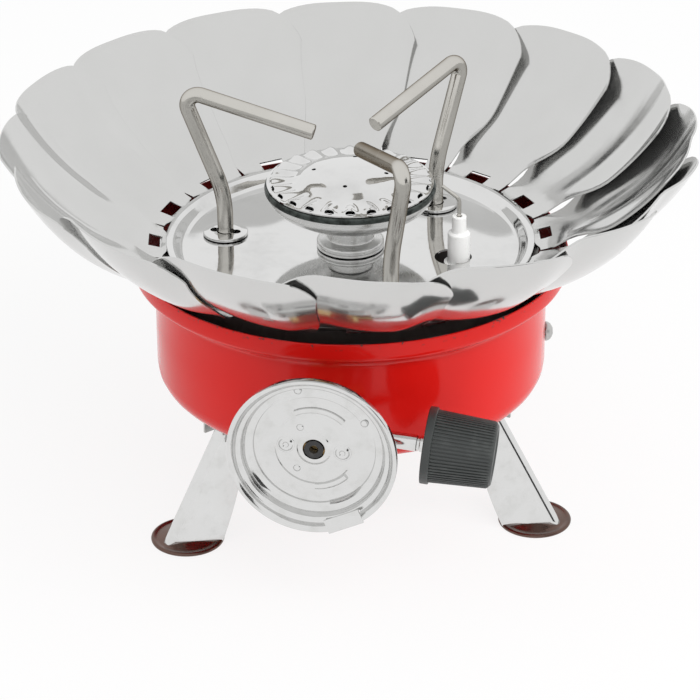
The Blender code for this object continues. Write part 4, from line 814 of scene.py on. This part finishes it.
# %% [markdown]
# ## The connector
# The cartridge hooks on a pressed steel dish with a rolled rim, a stepped wall and a flat face. Its raised
# middle has a hole with the seal, two rivets hold the valve behind it, and pressed ribs and pips stiffen and
# centre it. A notch is cut in the rim and a tab is bent across it. The dish is one outline on its own axes: X
# along the stem, Y up, Z out of the face.

# %% Press the dish
FACE = REGULATOR @ Matrix.Rotation(pi / 2, 4, "X")
dish = spun("connector_dish", [
    (25.3, 0.0, 0.4), (25.8, -0.6, 0.4), (25.8, -2.6, 0.4), (25.1, -3.0, 0.3), (22.6, -3.0, 0.4),
    (22.6, -7.5, 0.6), (12.5, -7.5, 0.4), (11.6, -7.05, 0.3), (6.4, -7.05, 0.3), (5.5, -6.3, 0.3), (3.3, -6.3),
    (3.3, -5.4, 0.3),
    (4.5, -5.4, 0.6), (5.5, -6.15, 0.4), (11.5, -6.15, 0.3), (12.4, -6.6, 0.4), (16.9, -6.6, 0.3),
    (17.3, -6.35, 0.2), (18.3, -6.35, 0.2), (18.7, -6.6, 0.3), (20.4, -6.6, 0.7), (21.6, -5.3, 0.5),
    (21.7, -2.9, 0.5), (23.2, -2.5, 0.4), (23.8, -1.2, 0.4), (24.6, -0.2, 0.4)], pressed_steel, steps=120,
    placed=FACE)


# %% Cut the notch and bend the tab
def block(name, size, placed, finish, soft=0.0):
    """A box with its edges broken."""
    shape = bmesh.new()
    bmesh.ops.create_cube(shape, size=1.0)
    bmesh.ops.scale(shape, vec=size, verts=shape.verts)
    if soft:
        bmesh.ops.bevel(shape, geom=shape.edges, offset=soft, segments=2, affect="EDGES", profile=0.5)
    return from_shape(name, shape, finish, placed)


toward_notch = FACE @ Matrix.Rotation(radians(-60.0), 4, "Z")
notch = block("notch_cutter", (0.0064, 0.0110, 0.0090), toward_notch @ Matrix.Translation((0.0254, 0, 0)),
              pressed_steel)
note_places(carved(dish, notch), FACE)
put_on(dish, "base", "polished_steel", "connector_plate")
tab = block("connector_tab", (0.0046, 0.0116, 0.0009),
            toward_notch @ Matrix.Translation((0.0233, 0, -0.0006)) @ Matrix.Rotation(radians(-8.0), 4, "Y"),
            pressed_steel, soft=0.00025)
put_on(note_places(tab, FACE), "base", "polished_steel")

# %% Rivets and pips, each a blank set on marked points
on_marks = Rule("on_marks", Blank="Object")
on_marks.end(on_marks.node("GeometryNodeInstanceOnPoints", {"Points": on_marks.input("Geometry"),
                                                            "Instance": on_marks.blank()}))


def onto_dish(piece):
    """Move a piece from the dish's own axes to its place."""
    piece.data.transform(FACE)
    put_on(note_places(piece, FACE), "base", "polished_steel")


def set_on_marks(name, marks, height, blank):
    """Copies of a blank on points of the dish's face, given in millimetres."""
    mesh = bpy.data.meshes.new(name)
    mesh.from_pydata([(x / 1000, y / 1000, height) for x, y in marks], [], [])
    piece = loose(name, mesh)
    onto_dish(on_marks.use_on(piece, pressed_steel, Blank=blank))


rivet = spun("rivet_blank", [
    (0.0, 0.10), (0.7, 0.12, 0.2), (1.0, 0.55, 0.2), (1.7, 0.62, 0.3), (2.15, 0.15, 0.3), (2.3, 0.05),
    (2.7, 0.10, 0.2), (2.9, -0.3), (0.0, -0.3)], pressed_steel, steps=28, closed=False)
pip = spun("pip_blank", [(0.0, 0.55), (0.5, 0.50), (0.9, 0.30), (1.2, 0.0), (1.25, -0.3), (0.0, -0.3)],
           pressed_steel, steps=20, closed=False)
set_on_marks("valve_rivets", ((-8.6, 0.0), (8.6, 0.0)), -0.00612, rivet)
set_on_marks("centring_pips", ((-4.8, 6.4), (-4.6, -7.6), (-6.6, 18.6), (14.2, 11.0)), -0.0062, pip)

# %% Pressed ribs, each an arc swept with a low profile
ribs = Rule("pressed_ribs", Radius="Float", Start="Float", Sweep="Float")
rib_arc = ribs.node("GeometryNodeCurveArc", {
    "Resolution": 25, "Radius": ribs.input("Radius"), "Start Angle": ribs.input("Start"),
    "Sweep Angle": ribs.input("Sweep")}, mode="RADIUS")
rib_round = ribs.node("GeometryNodeCurvePrimitiveCircle", {"Resolution": 12, "Radius": 0.00095}, mode="RADIUS")
rib_body = ribs.node("GeometryNodeCurveToMesh", {"Curve": rib_arc, "Profile Curve": rib_round, "Fill Caps": True})
ribs.end(ribs.node("GeometryNodeTransform", {"Geometry": rib_body, "Translation": (0, 0, -0.00645),
                                             "Scale": (1.0, 1.0, 0.75)}))
for number, (radius, start, sweep) in enumerate(((0.0128, 52.0, 70.0), (0.0131, -84.0, 46.0)), 1):
    rib = loose(f"pressed_rib_{number}")
    ribs.use_on(rib, pressed_steel, Radius=radius, Start=radians(start), Sweep=radians(sweep))
    rib.data.shade_smooth()
    onto_dish(rib)

# %% [markdown]
# ## Stem and knob
# The stem is turned bright steel with two grooves. The knob is moulded: a plain flange, then a barrel with sixty
# fine ridges for the fingers. One ridge is made as a blank and rule two sets it round the axis, which is far
# lighter than cutting grooves.

# %% Stem
STEM = REGULATOR @ Matrix.Translation((0, 0.0188, 0)) @ Matrix.Rotation(pi / 2, 4, "Y")
stem = spun("valve_stem_turned", [
    (0.0, 39.6), (2.5, 39.6, 0.3), (2.5, 30.4, 0.1), (2.2, 30.2), (2.2, 29.5), (2.5, 29.3, 0.1), (2.5, 16.6, 0.1),
    (2.2, 16.4), (2.2, 15.8), (2.5, 15.6, 0.1), (2.5, 4.0, 0.2), (0.0, 4.0)],
    pressed_steel, steps=40, closed=False, placed=STEM)
put_on(stem, "knob", "steel", "valve_stem")

# %% Knob with its ridges
barrel = spun("ridged_knob", [
    (0.0, 52.7), (7.6, 52.7, 0.3), (8.0, 53.2, 0.3), (9.2, 53.2, 0.6), (9.85, 52.2, 0.4), (10.75, 34.5, 0.2),
    (11.8, 34.5, 0.4), (11.8, 31.9, 0.4), (2.8, 31.9, 0.2), (2.8, 39.9), (0.0, 39.9)],
    knob_plastic, steps=120, closed=False)
ridge_shape = bmesh.new()
ridge_rows = []
for level, inner, outer, half in ((0.0344, 0.0105, 0.01115, 0.00034), (0.0519, 0.0096, 0.01025, 0.00032),
                                  (0.0526, 0.0092, 0.00975, 0.00026)):
    ridge_rows.append([ridge_shape.verts.new((reach, side, level)) for reach, side in (
        (inner, -half), (outer - 0.00012, -half), (outer, -half * 0.45), (outer, half * 0.45),
        (outer - 0.00012, half), (inner, half))])
skin(ridge_shape, ridge_rows)
ridge_shape.faces.new(ridge_rows[0])
ridge_shape.faces.new(ridge_rows[-1])
ridge = from_shape("ridge_blank", ridge_shape, knob_plastic)
all_round.use_on(barrel, knob_plastic, Blank=ridge, Count=60, Phase=0.0)
barrel.data.transform(STEM)
put_on(note_places(barrel, STEM), "knob", "charcoal_plastic", "control_knob")

# %% [markdown]
# ## Folding legs
# Each leg is a strip of bright sheet folded to a narrow ridge with two flanges that flare to the ground, and it
# ends in a round foot. Its section is a row of points, carried down in steps, whose spread grows with the square
# of the distance, as the pressing does. The sheet gets its thickness and broken edges at the end.

# %% Fold a leg
LEG_AZIMUTHS = (radians(-142.5), radians(-27.0), radians(97.0))


def leg_section(share):
    """One row of the leg's sheet: flange, rounded fold, ridge, rounded fold, flange, in millimetres."""
    flare = share ** 2
    inner, ridge = 46.5 + 12.2 * flare, 52.5 + 22.0 * share
    width, level = 5.3 + 3.7 * flare, 35.8 - 35.3 * share
    half = [(inner, width), ((inner + ridge) / 2 - 0.2, (width + 1.9) / 2), (ridge - 1.4, 1.95),
            (ridge - 0.55, 1.6), (ridge - 0.1, 1.05), (ridge, 0.45)]
    section = [(x, -y) for x, y in half] + list(reversed(half))
    return [Vector((x, y, level)) / 1000 for x, y in section]


def folded_leg(name, placed):
    shape = bmesh.new()
    rows = [[shape.verts.new(place) for place in leg_section(step / 16)] for step in range(17)]
    skin(shape, rows, loop=False)
    leg = from_shape(name, shape, pressed_steel, placed, sharp=60.0)
    return sheeted(leg, 0.0008, 0.00015, 2, 60.0, sharp=50.0)


# %% Legs and feet on their bodies
foot_outline = [(0.0, 2.0), (3.0, 1.9), (6.0, 1.55), (9.6, 0.85, 0.6), (10.6, 1.1, 0.4), (11.3, 1.2, 0.4),
                (11.8, 0.7, 0.4), (11.6, 0.0, 0.3), (0.0, 0.0)]
for number, azimuth in enumerate(LEG_AZIMUTHS, 1):
    leg = folded_leg(f"folded_leg_{number}", turned_to(azimuth))
    put_on(note_places(leg, turned_to(azimuth)), f"folding_leg_{number}", "polished_steel", f"leg_{number}")
    foot_place = turned_to(azimuth, away(azimuth, 0.0660))
    foot = spun(f"round_foot_{number}", foot_outline, browned_steel, steps=64, closed=False, placed=foot_place)
    put_on(foot, f"folding_leg_{number}", "polished_steel")

# %% [markdown]
# ## Screws in the wall
# Three domed screws with a cross recess hold the bowl to the drum inside. One screw is made pointing outward,
# its cross is cut with two small blocks, and rule two sets it three times round the stove.

# %% Make one screw and set three
screw = spun("screw_blank", [
    (0.0, 65.2), (1.0, 65.1), (1.9, 64.75), (2.6, 64.2), (3.05, 63.5), (3.2, 62.8, 0.1), (1.5, 62.8), (1.5, 54.4),
    (0.0, 54.4)], plain_steel, steps=40, closed=False)
cross = [block(f"cross_{i}", size, Matrix.Translation((0, 0, 0.0650)), plain_steel)
         for i, size in enumerate(((0.0030, 0.0006, 0.0016), (0.0006, 0.0030, 0.0016)))]
carved(screw, *cross)
screw.data.transform(Matrix.Translation((0, 0, 0.0530)) @ Matrix.Rotation(pi / 2, 4, "Y"))
screws = loose("wall_screws")
all_round.use_on(screws, plain_steel, Blank=screw, Count=3, Phase=0.0)
put_on(screws, "base", "steel", "side_screw_1", "side_screw_2", "side_screw_3")

# %% [markdown]
# ## Solids that are shown as they are
# Drum, brackets, pins, clips and the gas train under the plate are plain turned or bent parts that hardly show.
# Their solids are fine enough, so they only get the finish of the slot they were made with, and the drum gets
# a dark steel that is painted shade for the gaps where it shows.

# %% Finish the solids that stay
FINISH_OF_SLOT = {"red_paint": enamel, "polished_steel": plate_steel, "steel": plain_steel,
                  "blackened_steel": blued_steel, "brass": turned_brass, "white_ceramic": glazed_ceramic,
                  "black_rubber": black_rubber, "charcoal_plastic": blued_steel}
kept = [node for node in solids.values() if not node.hide_render]
for node in kept:
    for place in node.material_slots:
        wanted = place.material.name.split(".")[0]
        place.material = (sooty_steel if node.name == "hinge_drum" else FINISH_OF_SLOT[wanted]).material
print(len(kept), "solids stay:", sorted(node.name for node in kept))

# %% [markdown]
# ## Floor, light and camera
# The stove stands on plain white. The floor shows as white to the camera and to the metal, and keeps a soft
# shadow; the light is one broad lamp from the front, a weaker one from the right and an even sky. Polished steel
# shows only what is round it, so a dark card that only metal mirrors gives it its dark streaks, and the lamps
# themselves are kept out of it.

# %% Plain white behind everything
scene = bpy.context.scene


def show_white(bench, plain, kind, output, share=1.0):
    """Show plain white to rays that come from the camera, from metal or through glass."""
    path = bench.node("ShaderNodeLightPath", out="Is Camera Ray")
    seen = path.maths("MAXIMUM", path.beside("Is Glossy Ray")).maths("MAXIMUM", path.beside("Is Transmission Ray"))
    white = bench.node(kind, {"Color": (1.0, 1.0, 1.0), "Strength": 1.0})
    mixed = bench.node("ShaderNodeMixShader", {0: seen * share, 1: Value(bench, plain.outputs[0]), 2: white})
    bench.tree.links.new(mixed.socket, bench.tree.nodes[output].inputs["Surface"])


def staged(name, corners, finish, seen=True):
    """A flat sheet of the stage; metal mirrors it even if the camera doesn't see it."""
    mesh = bpy.data.meshes.new(name)
    mesh.from_pydata(corners, [], [(0, 1, 2, 3)])
    mesh.materials.append(finish.material)
    sheet = loose(name, mesh)
    sheet.visible_camera = sheet.visible_shadow = seen


floor_finish = Finish("white_floor", (0.90, 0.90, 0.90), 0.0, 0.9, Specular_IOR_Level=0.0)
show_white(floor_finish, floor_finish.shader, "ShaderNodeEmission", "Material Output", share=0.85)
staged("floor", [(-3, -3, 0), (3, -3, 0), (3, 3, 0), (-3, 3, 0)], floor_finish)

# %% Sky
world = bpy.data.worlds.new("studio")
scene.world = world
world.use_nodes = True
sky = world.node_tree.nodes["Background"]
sky.inputs["Color"].default_value = (1.0, 1.0, 1.0, 1.0)
sky.inputs["Strength"].default_value = 0.80
show_white(Bench(world.node_tree), sky, "ShaderNodeBackground", "World Output")


# %% Lamps and card
def softbox(name, place, size, power):
    lamp = bpy.data.lights.new(name, "AREA")
    lamp.shape = "SQUARE"
    lamp.size = size
    lamp.energy = power
    box = bpy.data.objects.new(name, lamp)
    box.matrix_world = Matrix.Translation(place) @ (Vector((0, 0, 0.06)) - Vector(place)).to_track_quat(
        "-Z", "Y").to_matrix().to_4x4()
    box.visible_glossy = False
    scene.collection.objects.link(box)


softbox("front_softbox", (0.45, -0.95, 1.05), 0.8, 7.0)
softbox("right_softbox", (0.95, -0.35, 0.75), 0.6, 4.0)
staged("right_card", [(0.55, -0.95, 0.12), (1.0, -0.45, 0.12), (1.0, -0.45, 0.55), (0.55, -0.95, 0.55)],
       Finish("right_card", (0.05, 0.05, 0.05), 0.0, 0.9), seen=False)

# %% Camera
ELEVATION, ROLL = radians(27.49), radians(-0.3)
FOCAL_PIXELS, PICTURE_PIXELS = 3088.2, 700
AIM = Vector((0.0, 0.0, 0.04644))
EYE = AIM + Vector((0.0, -cos(ELEVATION), sin(ELEVATION)))
lens = bpy.data.cameras.new("camera")
lens.sensor_width = 36.0
lens.lens = FOCAL_PIXELS / PICTURE_PIXELS * lens.sensor_width
lens.shift_x = -1 / PICTURE_PIXELS
lens.clip_start = 0.01
lens.clip_end = 20.0
camera = bpy.data.objects.new("camera", lens)
camera.matrix_world = (Matrix.Translation(EYE) @ (AIM - EYE).to_track_quat("-Z", "Y").to_matrix().to_4x4()
                       @ Matrix.Rotation(ROLL, 4, "Z"))
scene.collection.objects.link(camera)
scene.camera = camera
scene.view_settings.view_transform = "Standard"
print("lens", round(lens.lens, 1), "mm, aimed", round(1000 * AIM.z, 1), "mm above the floor")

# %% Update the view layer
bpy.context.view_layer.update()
